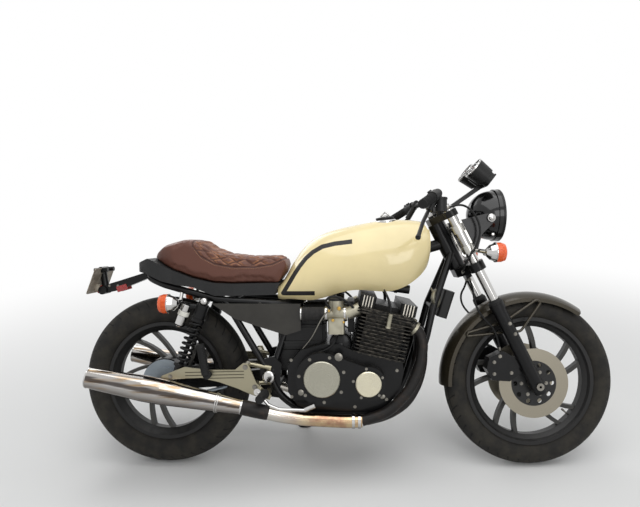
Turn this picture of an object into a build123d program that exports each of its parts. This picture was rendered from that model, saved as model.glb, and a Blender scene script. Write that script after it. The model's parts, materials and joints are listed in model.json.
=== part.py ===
from build123d import *
import math
import os

# A four-cylinder cafe racer motorcycle, in millimetres. It is modelled upright, with x forward from the
# rear axle, y to the rider's left and z up from the ground. The front end is then turned a little to the
# left and the whole machine is leant onto its side stand.

os.makedirs("parts", exist_ok=True)

# Stance
WHEELBASE = 1445.0
LEAN = 12.0
REST_STEER = 4.0
STEER_LIMIT = 35.0
RAKE = 26.0
FORK_OFFSET = 45.0

# Wheels and tyres
REAR_RADIUS = 337.0
REAR_WIDTH = 122.0
REAR_BEAD_RADIUS = 228.6
REAR_BEAD_HALF = 38.0
FRONT_RADIUS = 330.0
FRONT_WIDTH = 95.0
FRONT_BEAD_RADIUS = 241.3
FRONT_BEAD_HALF = 31.0
TYRE_WALL = 10.0
RIM_FLANGE = 9.0
RIM_LIP = 4.0
RIM_WELL = 14.0
RIM_DEPTH = 28.0
SPOKE_PAIRS = 5
SPOKE_SPLIT = 11.5
SPOKE_SWIRL = 38.0
SPOKE_WIDTH = 17.0
SPOKE_DEPTH = 26.0
FRONT_HUB_RADIUS = 38.0
FRONT_HUB_HALF = 66.0
DISC_RADIUS = 133.5
DISC_THICK = 5.0
DISC_BOLT_RADIUS = 58.0
DISC_EYE = 34.0
DISC_HOLES = 10
DISC_HOLE_RADIUS = 9.0
DISC_HOLE_RING = 71.0
REAR_HUB_HALF = 50.0
DRUM_RADIUS = 92.0
DRUM_WALL = 9.0
AXLE_RADIUS = 8.5
AXLE_BORE = 5.0
RUNNING_FIT = 0.05
TOUCH_GAP = 0.2
MOVING_GAP = 5.5

# Fork and steering head
FORK_HALF = 102.0
FORK_TUBE_RADIUS = 18.5
SLIDER_RADIUS = 25.5
SLIDER_TOP = 348.0
SLIDER_FOOT = -32.0
SLIDER_FLOOR = 60.0
LOWER_CLAMP_TOP = 523.0
LOWER_CLAMP_THICK = 34.0
HEAD_LENGTH = 192.5
HEAD_RADIUS = 32.0
HEAD_CLEAR = 0.5
STEM_RADIUS = 15.0
TOP_CLAMP_THICK = 26.0
CLAMP_BOSS = 30.0
TOP_BOSS = 27.0
YOKE_REAR = 24.0
YOKE_REAR_HALF = 34.0
YOKE_WAIST = 22.0
FORK_CAP_RISE = 12.0

# Front fender
FENDER_RADIUS = 349.0
FENDER_HALF = 60.0
FENDER_CROWN = 22.0
FENDER_SKIRT = 14.0
FENDER_WALL = 3.0
FENDER_START = 54.0
FENDER_END = 182.0

# Engine
CASE_HALF = 140.0
COVER_DEPTH = 46.0
DISC_COVER_DEPTH = 9.0
CLUTCH_RADIUS = 68.0
PICKUP_RADIUS = 48.0
CYLINDER_TILT = 13.5
BORE_SPACING = 92.0
BLOCK_WIDTH = 372.0
FIN_COUNT = 11
FIN_PITCH = 13.0
FIN_THICK = 4.0
BLOCK_HEIGHT = 150.0
HEAD_HEIGHT = 24.0
CAM_BOX_WIDTH = 62.0
CAM_BOX_HEIGHT = 42.0
CAM_BOX_HALF = 150.0
CAM_SPREAD = 76.0

# Exhaust
HEADER_RADIUS = 20.0
COLLECTOR_RADIUS = 24.0
SILENCER_Y = 215.0

# Frame tubes
DOWN_TUBE = 14.0
UPPER_TUBE = 13.0
BACKBONE = 22.0
RAIL_HALF = 112.0
CRADLE_HALF = 92.0

SIN_RAKE = math.sin(math.radians(RAKE))
COS_RAKE = math.cos(math.radians(RAKE))
REAR_AXLE = Vector(0, 0, REAR_RADIUS)
PIVOT = Vector(432, 0, 374)
PIVOT_RADIUS = 8.0
PIVOT_BORE = 8.3
FRONT_AXLE = Vector(WHEELBASE, 0, FRONT_RADIUS)
STEER_FOOT = FRONT_AXLE - Vector(COS_RAKE, 0, SIN_RAKE) * FORK_OFFSET
STEER = Plane(STEER_FOOT, x_dir=(COS_RAKE, 0, SIN_RAKE), z_dir=(-SIN_RAKE, 0, COS_RAKE))

BODIES = {"root": [], "steering": [], "front_wheel": [], "rear_wheel": [], "side_stand": []}


def keep(piece, node, body="root"):
    """Files a finished piece under its node name and the body that carries it."""
    piece.label = node
    BODIES[body].append(piece)
    return piece


def side(y):
    """The upright plane at this y, with its own x forward and its own y up."""
    return Plane.XZ.offset(-y)


def across(centre):
    """The plane across the machine at a wheel's centre, with its own x to the left and its own y up."""
    return Plane(centre, x_dir=(0, 1, 0), z_dir=(1, 0, 0))


def axle_line(centre):
    return Axis(centre, (0, 1, 0))


def both_sides(shape):
    """The piece and its mirror image, as one part of two solids."""
    with BuildPart() as pair:
        add(shape)
        mirror(about=Plane.XZ)
    return pair.part


def bend_radii(points, share=0.45, most=400.0):
    """The largest bend at each corner that its two straight runs allow."""
    spots = [Vector(p) for p in points]
    radii = []
    for before, corner, after in zip(spots, spots[1:], spots[2:]):
        turn = (corner - before).get_angle(after - corner)
        shorter = min((corner - before).length, (after - corner).length)
        radii.append(min(most, share * shorter / math.tan(math.radians(turn) / 2)))
    return radii


def tube(points, radius, bore=0.0, most=400.0):
    """A round bar or pipe along straight runs joined by bends."""
    with BuildPart() as bar:
        with BuildLine() as path:
            if len(points) > 2:
                FilletPolyline(*points, radius=bend_radii(points, most=most))
            else:
                Line(*points)
        with BuildSketch(Plane(path.wires()[0] @ 0, z_dir=path.wires()[0] % 0)):
            Circle(radius)
            if bore:
                Circle(bore, mode=Mode.SUBTRACT)
        sweep(path=path.wires()[0])
    return bar.part


def rod(start, end, radius):
    """A straight round bar between two points."""
    start, end = Vector(start), Vector(end)
    with BuildPart() as bar:
        with BuildSketch(Plane(start, z_dir=end - start)):
            Circle(radius)
        extrude(amount=(end - start).length)
    return bar.part


def crossbar(centre, near, far, radius):
    """A round bar across the machine on the line through a point, from one y to another."""
    return rod((centre.X, near, centre.Z), (centre.X, far, centre.Z), radius)


def plate(points, y, thick):
    """A flat plate with straight edges, from y towards the right side."""
    with BuildPart() as sheet:
        with BuildSketch(side(y)):
            with BuildLine():
                Polyline(*points, close=True)
            make_face()
        extrude(amount=thick)
    return sheet.part


def disc(centre, radius, y, thick):
    """A round boss on the side of the machine, from y towards the right side."""
    with BuildPart() as boss:
        with BuildSketch(side(y)):
            with Locations(centre):
                Circle(radius)
        extrude(amount=thick)
    return boss.part


def trimmed(shape, *others):
    """The piece with the room of its neighbours taken out."""
    with BuildPart() as cut:
        add(shape)
        for other in others:
            add(other, mode=Mode.SUBTRACT)
    return cut.part


def joined(*shapes):
    with BuildPart() as whole:
        for shape in shapes:
            add(shape)
    return whole.part


# Tyres and wheels


def tyre(centre, radius, width, bead_radius, bead_half):
    """A tyre with a round crown of half its width, open towards the rim."""
    crown = width / 2
    waist = radius - crown
    foot = bead_radius + TOUCH_GAP
    shoulder = bead_radius + RIM_FLANGE + 1
    sidewall = (shoulder + waist) / 2
    inner = crown - TYRE_WALL
    with BuildPart() as ring:
        with BuildSketch(across(centre)):
            with BuildLine():
                ThreePointArc((-crown, waist), (0, radius), (crown, waist))
                ThreePointArc((crown, waist), (crown - 3, sidewall), (bead_half, shoulder))
                Polyline(
                    (bead_half, shoulder),
                    (bead_half, foot),
                    (bead_half - TYRE_WALL, foot),
                    (bead_half - TYRE_WALL, shoulder),
                )
                ThreePointArc((bead_half - TYRE_WALL, shoulder), (inner - 3, sidewall), (inner, waist))
                ThreePointArc((inner, waist), (0, radius - TYRE_WALL), (-inner, waist))
                ThreePointArc((-inner, waist), (3 - inner, sidewall), (TYRE_WALL - bead_half, shoulder))
                Polyline(
                    (TYRE_WALL - bead_half, shoulder),
                    (TYRE_WALL - bead_half, foot),
                    (-bead_half, foot),
                    (-bead_half, shoulder),
                )
                ThreePointArc((-bead_half, shoulder), (3 - crown, sidewall), (-crown, waist))
            make_face()
        revolve(axis=axle_line(centre))
    return ring.part


def rim(centre, bead_radius, bead_half):
    """The rim of a cast wheel, with its flanges, well and rounded inner side."""
    flange = bead_half + TOUCH_GAP
    outer = flange + RIM_LIP
    top = bead_radius + RIM_FLANGE
    well = bead_radius - RIM_WELL
    floor = bead_radius - RIM_DEPTH
    half = [
        (flange, top),
        (outer, top),
        (outer, bead_radius - 5),
        (outer - 9, bead_radius - 12),
        (15, floor),
    ]
    seat = [
        (bead_half - 23, well),
        (bead_half - 15, bead_radius),
        (flange, bead_radius),
    ]
    points = half + [(-y, r) for y, r in reversed(half)]
    points += [(-y, r) for y, r in reversed(seat)] + seat
    with BuildPart() as ring:
        with BuildSketch(across(centre)):
            with BuildLine():
                Polyline(*points, close=True)
            make_face()
        revolve(axis=axle_line(centre))
    return ring.part


def spokes(centre, hub_radius, rim_radius, phase):
    """Pairs of curved spokes that swirl from the hub out to the rim."""
    rings = (hub_radius, hub_radius + (rim_radius - hub_radius) * 0.62, rim_radius)
    with BuildPart() as fan:
        with BuildSketch(side(0)):
            for pair in range(SPOKE_PAIRS):
                for split in (-1, 1):
                    outer = phase + pair * 360 / SPOKE_PAIRS + split * SPOKE_SPLIT
                    swirl = SPOKE_SWIRL - split * 4
                    turns = (outer - swirl, outer - SPOKE_SWIRL * 0.24, outer)
                    edges = []
                    for half in (-SPOKE_WIDTH / 2, SPOKE_WIDTH / 2):
                        spots = []
                        for r, turn in zip(rings, turns):
                            angle = math.radians(turn) + half / r
                            spots.append((centre.X + r * math.cos(angle), centre.Z + r * math.sin(angle)))
                        edges.append(spots)
                    near, far = edges
                    with BuildLine():
                        ThreePointArc(*near)
                        Line(near[2], far[2])
                        ThreePointArc(*reversed(far))
                        Line(far[0], near[0])
                    make_face()
        extrude(amount=SPOKE_DEPTH / 2, both=True)
    return fan.part


def drum(centre, radius, half):
    with BuildPart() as barrel:
        with BuildSketch(side(half)):
            with Locations((centre.X, centre.Z)):
                Circle(radius)
        extrude(amount=2 * half)
    return barrel.part


with BuildPart() as front_casting:
    add(rim(FRONT_AXLE, FRONT_BEAD_RADIUS, FRONT_BEAD_HALF))
    add(spokes(FRONT_AXLE, FRONT_HUB_RADIUS - 8, FRONT_BEAD_RADIUS - RIM_DEPTH + 4, 29))
    add(drum(FRONT_AXLE, FRONT_HUB_RADIUS, FRONT_HUB_HALF))
    for flange_y in (FRONT_HUB_HALF, 9 - FRONT_HUB_HALF):
        add(disc((FRONT_AXLE.X, FRONT_AXLE.Z), DISC_BOLT_RADIUS, flange_y, 9))
    add(drum(FRONT_AXLE, AXLE_RADIUS + RUNNING_FIT, 2 * FRONT_HUB_HALF), mode=Mode.SUBTRACT)
keep(front_casting.part, "front_wheel_casting", "front_wheel")
keep(
    tyre(FRONT_AXLE, FRONT_RADIUS, FRONT_WIDTH, FRONT_BEAD_RADIUS, FRONT_BEAD_HALF),
    "front_tyre",
    "front_wheel",
)

with BuildPart() as one_disc:
    with BuildSketch(side(-FRONT_HUB_HALF)):
        with Locations((FRONT_AXLE.X, FRONT_AXLE.Z)):
            Circle(DISC_RADIUS)
            Circle(DISC_EYE, mode=Mode.SUBTRACT)
            with PolarLocations(DISC_HOLE_RING, DISC_HOLES):
                Circle(DISC_HOLE_RADIUS, mode=Mode.SUBTRACT)
    extrude(amount=DISC_THICK)
keep(both_sides(one_disc.part), "front_discs", "front_wheel")

with BuildPart() as rear_casting:
    add(rim(REAR_AXLE, REAR_BEAD_RADIUS, REAR_BEAD_HALF))
    add(spokes(REAR_AXLE, DRUM_RADIUS - 8, REAR_BEAD_RADIUS - RIM_DEPTH + 4, 47))
    add(drum(REAR_AXLE, DRUM_RADIUS, REAR_HUB_HALF))
    add(drum(REAR_AXLE, AXLE_RADIUS + RUNNING_FIT, 2 * REAR_HUB_HALF), mode=Mode.SUBTRACT)
    with BuildSketch(side(-REAR_HUB_HALF)):
        with Locations((REAR_AXLE.X, REAR_AXLE.Z)):
            Circle(DRUM_RADIUS - DRUM_WALL)
            Circle(30, mode=Mode.SUBTRACT)
    extrude(amount=-40, mode=Mode.SUBTRACT)
keep(rear_casting.part, "rear_wheel_casting", "rear_wheel")
keep(
    tyre(REAR_AXLE, REAR_RADIUS, REAR_WIDTH, REAR_BEAD_RADIUS, REAR_BEAD_HALF),
    "rear_tyre",
    "rear_wheel",
)

# Fork, clamps and axle, in the plane of the steering head: x forward, z up along the head


def head_cylinder(u, v, low, high, radius, bore=0.0):
    """A round bar along the steering head's direction."""
    with BuildPart() as bar:
        with BuildSketch(STEER.offset(low)):
            with Locations((u, v)):
                Circle(radius)
                if bore:
                    Circle(bore, mode=Mode.SUBTRACT)
        extrude(amount=high - low)
    return bar.part


LOWER_CLAMP_FOOT = LOWER_CLAMP_TOP - LOWER_CLAMP_THICK
HEAD_FOOT = LOWER_CLAMP_TOP + HEAD_CLEAR
HEAD_TOP = HEAD_FOOT + HEAD_LENGTH
TOP_CLAMP_FOOT = HEAD_TOP + HEAD_CLEAR
TOP_CLAMP_TOP = TOP_CLAMP_FOOT + TOP_CLAMP_THICK
FORK_TOP = TOP_CLAMP_TOP + FORK_CAP_RISE


def clamp(low, thick, boss):
    """A yoke that holds both fork tubes and the stem."""
    with BuildPart() as yoke:
        with BuildSketch(STEER.offset(low)):
            with BuildLine():
                Polyline(
                    (-YOKE_REAR, -YOKE_REAR_HALF),
                    (-YOKE_REAR, YOKE_REAR_HALF),
                    (FORK_OFFSET - YOKE_WAIST, FORK_HALF),
                    (FORK_OFFSET + 14, FORK_HALF),
                    (26, 40),
                    (26, -40),
                    (FORK_OFFSET + 14, -FORK_HALF),
                    (FORK_OFFSET - YOKE_WAIST, -FORK_HALF),
                    close=True,
                )
            make_face()
            with Locations((FORK_OFFSET, FORK_HALF), (FORK_OFFSET, -FORK_HALF)):
                Circle(boss)
            with Locations((FORK_OFFSET, FORK_HALF), (FORK_OFFSET, -FORK_HALF)):
                Circle(FORK_TUBE_RADIUS + TOUCH_GAP, mode=Mode.SUBTRACT)
        extrude(amount=thick)
    return yoke.part


SPLITTER = {"u": 20.0, "half": 22.0, "deep": 22.0}
SPLITTER_FOOT = LOWER_CLAMP_FOOT - SPLITTER["deep"]

with BuildPart() as lower_yoke:
    add(clamp(LOWER_CLAMP_FOOT, LOWER_CLAMP_THICK, CLAMP_BOSS))
    add(head_cylinder(0, 0, LOWER_CLAMP_FOOT + 10, TOP_CLAMP_FOOT - HEAD_CLEAR, STEM_RADIUS))
    with BuildSketch(STEER.offset(SPLITTER_FOOT)):
        with Locations((SPLITTER["u"], 0)):
            Rectangle(24, 2 * SPLITTER["half"])
    extrude(amount=SPLITTER["deep"] + 1)
keep(lower_yoke.part, "lower_yoke_and_stem", "steering")

with BuildPart() as top_yoke:
    add(clamp(TOP_CLAMP_FOOT, TOP_CLAMP_THICK, TOP_BOSS))
    add(head_cylinder(0, 0, TOP_CLAMP_TOP, TOP_CLAMP_TOP + 9, 15))

fork_tube = head_cylinder(FORK_OFFSET, -FORK_HALF, SLIDER_FLOOR + 1, FORK_TOP, FORK_TUBE_RADIUS, 15)
keep(both_sides(fork_tube), "fork_tubes", "steering")

with BuildPart() as slider:
    add(head_cylinder(FORK_OFFSET, -FORK_HALF, SLIDER_FOOT + 12, SLIDER_TOP, SLIDER_RADIUS))
    add(head_cylinder(FORK_OFFSET, -FORK_HALF, SLIDER_FOOT, SLIDER_FOOT + 40, SLIDER_RADIUS - 3))
    add(head_cylinder(FORK_OFFSET, -FORK_HALF, SLIDER_TOP - 26, SLIDER_TOP, SLIDER_RADIUS + 3))
    add(
        head_cylinder(
            FORK_OFFSET, -FORK_HALF, SLIDER_FLOOR, SLIDER_TOP + 1, FORK_TUBE_RADIUS + TOUCH_GAP
        ),
        mode=Mode.SUBTRACT,
    )
    add(drum(FRONT_AXLE, AXLE_RADIUS + TOUCH_GAP, 2 * FORK_HALF), mode=Mode.SUBTRACT)
keep(both_sides(slider.part), "fork_sliders", "steering")

SLIDER_INNER = FORK_HALF - SLIDER_RADIUS
AXLE_HALF = FORK_HALF + SLIDER_RADIUS + 9

with BuildPart() as front_axle:
    add(drum(FRONT_AXLE, AXLE_RADIUS, AXLE_HALF))
    for collar_y in (SLIDER_INNER - TOUCH_GAP, -FRONT_HUB_HALF - 0.3):
        add(
            disc(
                (FRONT_AXLE.X, FRONT_AXLE.Z),
                24,
                collar_y,
                SLIDER_INNER - TOUCH_GAP - FRONT_HUB_HALF - 0.3,
            )
        )
    for nut_y in (AXLE_HALF, TOUCH_GAP - FORK_HALF - SLIDER_RADIUS - 0.5):
        add(disc((FRONT_AXLE.X, FRONT_AXLE.Z), 14, nut_y, 8))
    add(drum(FRONT_AXLE, AXLE_BORE, 2 * AXLE_HALF), mode=Mode.SUBTRACT)
keep(front_axle.part, "front_axle", "steering")

# Calipers straddle the discs behind the sliders

DISC_INNER = FRONT_HUB_HALF

with BuildPart() as caliper:
    with BuildSketch(Plane(STEER.origin, x_dir=STEER.x_dir, z_dir=(0, -1, 0)).offset(49)):
        with BuildLine():
            Polyline(
                (-98, 92), (-98, 140), (-70, 172), (-10, 172), (12, 140), (12, 66), (-40, 58), close=True
            )
        make_face()
    extrude(amount=50)
    with BuildSketch(side(-DISC_INNER + MOVING_GAP)):
        with Locations((FRONT_AXLE.X, FRONT_AXLE.Z)):
            Circle(DISC_RADIUS + MOVING_GAP)
    extrude(amount=DISC_THICK + 2 * MOVING_GAP, mode=Mode.SUBTRACT)
    with BuildSketch(Plane(STEER.origin, x_dir=STEER.x_dir, z_dir=(0, -1, 0)).offset(84)):
        with Locations((16, 110)):
            Rectangle(30, 44)
    extrude(amount=15)
    add(
        head_cylinder(
            FORK_OFFSET, -FORK_HALF, SLIDER_FOOT, SLIDER_TOP, SLIDER_RADIUS + TOUCH_GAP
        ),
        mode=Mode.SUBTRACT,
    )
keep(both_sides(caliper.part), "calipers", "steering")

# Front fender with its stays

with BuildPart() as fender:
    crown = FENDER_RADIUS - FENDER_CROWN
    skirt = crown - FENDER_SKIRT
    with BuildSketch(across(FRONT_AXLE)):
        with BuildLine():
            ThreePointArc((-FENDER_HALF, crown), (0, FENDER_RADIUS), (FENDER_HALF, crown))
            Line((FENDER_HALF, crown), (FENDER_HALF, skirt))
            Line((FENDER_HALF, skirt), (FENDER_HALF - FENDER_WALL, skirt))
            Line((FENDER_HALF - FENDER_WALL, skirt), (FENDER_HALF - FENDER_WALL, crown))
            ThreePointArc(
                (FENDER_HALF - FENDER_WALL, crown),
                (0, FENDER_RADIUS - FENDER_WALL),
                (FENDER_WALL - FENDER_HALF, crown),
            )
            Line((FENDER_WALL - FENDER_HALF, crown), (FENDER_WALL - FENDER_HALF, skirt))
            Line((FENDER_WALL - FENDER_HALF, skirt), (-FENDER_HALF, skirt))
            Line((-FENDER_HALF, skirt), (-FENDER_HALF, crown))
        make_face()
    revolve(axis=axle_line(FRONT_AXLE), revolution_arc=FENDER_END - FENDER_START)
fender_turn = Axis(FRONT_AXLE, (0, 1, 0))
fender_arc = fender.part.rotate(fender_turn, 90 - FENDER_START - (FENDER_END - FENDER_START))
keep(fender_arc, "front_fender", "steering")
STAY_RADIUS = 5.0
STAY_Y = -FENDER_HALF - STAY_RADIUS - TOUCH_GAP
STAY_UPPER = (1337.0, 568.0)
STAY_LOWER = (1357.0, 529.0)
STAY_ROUTES = (
    (STAY_UPPER, (1462, 651), (1480, 641), (1400, 530), STAY_LOWER),
    (STAY_UPPER, (1196, 528), (1190, 514), STAY_LOWER),
)

STAY_BEND = 22.0
STAY_BOSS_RADIUS = 9.0
with BuildPart() as stay:
    for boss in (STAY_UPPER, STAY_LOWER):
        boss_face = (boss[0], STAY_Y + STAY_RADIUS + 2, boss[1])
        add(rod(boss_face, (boss[0], -FORK_HALF, boss[1]), STAY_BOSS_RADIUS))
    for route in STAY_ROUTES:
        add(tube([(x, STAY_Y, z) for x, z in route], STAY_RADIUS, most=STAY_BEND))
    add(head_cylinder(FORK_OFFSET, -FORK_HALF, 0, SLIDER_TOP, SLIDER_RADIUS + TOUCH_GAP), mode=Mode.SUBTRACT)
keep(both_sides(stay.part), "fender_stays", "steering")


# Headlight, gauges and indicators

HEADLIGHT = Vector(1338, 0, 984)
HEADLIGHT_RADIUS = 103.0
HEADLIGHT_BOLT = (1277, 967)


def turned(profile, centre, direction):
    """A round piece turned about a line, its profile as distance along the line and radius."""
    direction = Vector(*direction)
    seat = Plane(centre, x_dir=direction, z_dir=Vector(0, 1, 0).cross(direction).cross(direction))
    with BuildPart() as body:
        with BuildSketch(seat):
            with BuildLine():
                Polyline(*profile, close=True)
            make_face()
        revolve(axis=Axis(centre, direction))
    return body.part


SHELL_RADIUS = HEADLIGHT_RADIUS - 5
RIM_DEEP = 24.0
LENS_RADIUS = HEADLIGHT_RADIUS - 9
LENS_BULGE = 13.0
lens_sphere = (LENS_RADIUS**2 + LENS_BULGE**2) / (2 * LENS_BULGE)
lens_back = HEADLIGHT.X - 14
lens_edge = HEADLIGHT.X - 5


def half_round(centre_x, radius, front):
    """A dome whose flat side faces forward, as a solid of revolution about the lamp's axis."""
    back = centre_x - radius
    half = radius * math.sqrt(0.5)
    with BuildPart() as dome:
        with BuildSketch(Plane.XZ):
            with BuildLine():
                Line((back, HEADLIGHT.Z), (front, HEADLIGHT.Z))
                Line((front, HEADLIGHT.Z), (front, HEADLIGHT.Z + radius))
                Line((front, HEADLIGHT.Z + radius), (centre_x, HEADLIGHT.Z + radius))
                ThreePointArc(
                    (centre_x, HEADLIGHT.Z + radius),
                    (centre_x - half, HEADLIGHT.Z + half),
                    (back, HEADLIGHT.Z),
                )
            make_face()
        revolve(axis=Axis(HEADLIGHT, (1, 0, 0)))
    return dome.part


with BuildPart() as shell:
    add(half_round(HEADLIGHT.X - RIM_DEEP, SHELL_RADIUS, HEADLIGHT.X))
    add(rod(HEADLIGHT - Vector(RIM_DEEP - 2, 0, 0), HEADLIGHT, HEADLIGHT_RADIUS))
    add(half_round(HEADLIGHT.X - RIM_DEEP, SHELL_RADIUS - 4, HEADLIGHT.X + 1), mode=Mode.SUBTRACT)
keep(shell.part, "headlight_shell", "steering")

with BuildPart() as lens:
    with BuildSketch(Plane.XZ):
        with BuildLine():
            reach = HEADLIGHT.Z + LENS_RADIUS - TOUCH_GAP
            sweep_half = math.asin((LENS_RADIUS - TOUCH_GAP) / lens_sphere) / 2
            bulge_x = lens_edge - lens_sphere * math.cos(2 * sweep_half)
            Line((lens_back, HEADLIGHT.Z), (lens_back, reach))
            Line((lens_back, reach), (lens_edge, reach))
            ThreePointArc(
                (lens_edge, reach),
                (
                    bulge_x + lens_sphere * math.cos(sweep_half),
                    HEADLIGHT.Z + lens_sphere * math.sin(sweep_half),
                ),
                (bulge_x + lens_sphere, HEADLIGHT.Z),
            )
            Line((bulge_x + lens_sphere, HEADLIGHT.Z), (lens_back, HEADLIGHT.Z))
        make_face()
    revolve(axis=Axis(HEADLIGHT, (1, 0, 0)))
keep(lens.part, "headlight_lens", "steering")

EAR_Y = 107.0
EAR_THICK = 5.0
with BuildPart() as ear:
    for band in (566, 650):
        add(head_cylinder(FORK_OFFSET, -FORK_HALF, band, band + 30, FORK_TUBE_RADIUS + 6))
    with BuildSketch(side(-EAR_Y)):
        with BuildLine():
            Polyline(
                (1196, 832),
                (1224, 842),
                (1242, 905),
                (1292, 955),
                (1292, 980),
                (1262, 984),
                (1148, 958),
                (1140, 930),
                close=True,
            )
        make_face()
    extrude(amount=EAR_THICK)
    add(rod((HEADLIGHT_BOLT[0], -EAR_Y, HEADLIGHT_BOLT[1]), (HEADLIGHT_BOLT[0], -60, HEADLIGHT_BOLT[1]), 12))
    add(rod((HEADLIGHT_BOLT[0], -EAR_Y, HEADLIGHT_BOLT[1]), (HEADLIGHT_BOLT[0], -121, HEADLIGHT_BOLT[1]), 9))
    add(
        head_cylinder(FORK_OFFSET, -FORK_HALF, 0, FORK_TOP, FORK_TUBE_RADIUS + TOUCH_GAP),
        mode=Mode.SUBTRACT,
    )
    add(half_round(HEADLIGHT.X - RIM_DEEP, SHELL_RADIUS, HEADLIGHT.X), mode=Mode.SUBTRACT)
keep(both_sides(ear.part), "headlight_ears", "steering")

GAUGE_TILT = 38.0
GAUGE_HALF = 58.0
GAUGE_FACE = Vector(1229, 0, 1165)
GAUGE_DEPTH = 78.0
gauge_down = Vector(math.cos(math.radians(GAUGE_TILT)), 0, -math.sin(math.radians(GAUGE_TILT)))
GAUGE_PLANE = Plane(GAUGE_FACE, x_dir=(0, 1, 0), z_dir=gauge_down)

with BuildPart() as pod:
    with BuildSketch(GAUGE_PLANE):
        with Locations((-GAUGE_HALF, 0)):
            Circle(43)
    with BuildSketch(GAUGE_PLANE.offset(GAUGE_DEPTH * 0.8)):
        with Locations((-GAUGE_HALF, 0)):
            Circle(37)
    loft()
    with BuildSketch(GAUGE_PLANE.offset(GAUGE_DEPTH * 0.8)):
        with Locations((-GAUGE_HALF, 0)):
            Circle(30)
    extrude(amount=GAUGE_DEPTH * 0.2)
    with BuildSketch(GAUGE_PLANE):
        with Locations((-GAUGE_HALF, 0)):
            Circle(38)
    extrude(amount=6, mode=Mode.SUBTRACT)

tongue_back = STEER.from_local_coords((17, 0, TOP_CLAMP_TOP + 0.1))
tongue_front = STEER.from_local_coords((32, 0, TOP_CLAMP_TOP + 0.1))
tray_bracket = [
    (tongue_back.X, tongue_back.Z),
    (tongue_front.X, tongue_front.Z),
    (1150, 1008),
    (1284, 1098),
    (1300, 1112),
    (1292, 1124),
    (1276, 1112),
    (1140, 1020),
    (tongue_back.X + 6, tongue_back.Z + 12),
]
with BuildPart() as gauge_tray:
    with BuildSketch(GAUGE_PLANE.offset(GAUGE_DEPTH + 0.3)):
        RectangleRounded(170, 60, 12)
    extrude(amount=4)
    with BuildSketch(GAUGE_PLANE.offset(20)):
        with Locations((0, -8)):
            RectangleRounded(22, 50, 6)
    extrude(amount=GAUGE_DEPTH + 0.3 - 20)
    add(plate(tray_bracket, 15, 30))
    add(shell.part, mode=Mode.SUBTRACT)
    add(pod.part, mode=Mode.SUBTRACT)
    add(mirror(pod.part, about=Plane.XZ, mode=Mode.PRIVATE), mode=Mode.SUBTRACT)
    add(top_yoke.part, mode=Mode.SUBTRACT)
with BuildPart() as gauges:
    add(gauge_tray.part)
    add(both_sides(pod.part))
keep(gauges.part, "gauges", "steering")


def indicator(centre, forward, stalk):
    """A bullet turn lamp whose lens looks forward or back, on a short stalk."""
    way = 1 if forward else -1
    body = turned([(0, 0), (0, 36), (-16, 36), (-40, 27), (-54, 13), (-58, 0)], centre, (way, 0, 0))
    lens = turned([(0.2, 0), (0.2, 36), (13, 32), (19, 20), (21, 0)], centre, (way, 0, 0))
    root_x = centre.X - way * 40
    neck = rod((root_x, centre.Y, centre.Z), stalk, 8)
    knuckle = rod((root_x, centre.Y + 8, centre.Z), (root_x, centre.Y + 40, centre.Z), 14)
    return joined(body, trimmed(neck, body), trimmed(knuckle, body)), lens


front_lamp, front_lens = indicator(Vector(1288, -178, 836), True, (1212, -110, 846))
fork_room = head_cylinder(FORK_OFFSET, -FORK_HALF, 0, FORK_TOP, FORK_TUBE_RADIUS + TOUCH_GAP)
front_lamp = trimmed(front_lamp, ear.part, fork_room)
keep(both_sides(front_lamp), "front_indicators", "steering")
keep(both_sides(front_lens), "front_indicator_lenses", "steering")

# Handlebar, grips and hand controls

BAR_RADIUS = 11.0
GRIP_RADIUS = 16.0
bar_points = [
    (1086, 0, 1033),
    (1086, -60, 1033),
    (1072, -150, 1050),
    (1036, -236, 1040),
    (972, -352, 1000),
]
with BuildPart() as handlebar:
    add(tube(bar_points, BAR_RADIUS))
    mirror(about=Plane.XZ)
keep(handlebar.part, "handlebar", "steering")

GRIP_DIRECTION = (Vector(*bar_points[4]) - Vector(*bar_points[3])).normalized()
GRIP_INNER = Vector(*bar_points[4]) - GRIP_DIRECTION * 112
GRIP_OUTER = Vector(*bar_points[4]) + GRIP_DIRECTION * 4
with BuildPart() as grip:
    add(rod(GRIP_INNER, GRIP_OUTER, GRIP_RADIUS))
    add(rod(GRIP_INNER, (GRIP_INNER + GRIP_DIRECTION * 5), GRIP_RADIUS + 4))
    add(handlebar.part, mode=Mode.SUBTRACT)
keep(both_sides(grip.part), "grips", "steering")

RISER_HALF = 42.0
BAR_FOOT = Vector(*bar_points[0])
bar_local = STEER.to_local_coords(BAR_FOOT)
with BuildPart() as risers:
    add(top_yoke.part)
    for riser_y in (-RISER_HALF, RISER_HALF):
        add(rod((BAR_FOOT.X, riser_y - 12, BAR_FOOT.Z), (BAR_FOOT.X, riser_y + 12, BAR_FOOT.Z), 21))
        add(head_cylinder(bar_local.X - 6, riser_y, TOP_CLAMP_TOP - 8, bar_local.Z - 4, 13))
    add(handlebar.part, mode=Mode.SUBTRACT)
keep(risers.part, "top_yoke", "steering")

SWITCH_IN = GRIP_INNER - GRIP_DIRECTION * 1
PERCH = SWITCH_IN - GRIP_DIRECTION * 60
LEVER_ROOT = Vector(1018, -222, 990)
LEVER_MID = Vector(984, -286, 944)
LEVER_TIP = Vector(955, -352, 893)
RESERVOIR = Vector(1066, -196, 986)
RESERVOIR_HEIGHT = 44.0
with BuildPart() as switch:
    add(rod(SWITCH_IN - GRIP_DIRECTION * 44, SWITCH_IN, 20))
    add(rod(PERCH - GRIP_DIRECTION * 10, PERCH + GRIP_DIRECTION * 10, 17))
    add(rod(PERCH, LEVER_ROOT, 12))
    add(tube([LEVER_ROOT, LEVER_MID, LEVER_TIP], 7))
    add(rod(LEVER_TIP, LEVER_TIP + (LEVER_TIP - LEVER_MID).normalized() * 10, 9))
    add(handlebar.part, mode=Mode.SUBTRACT)

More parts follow.
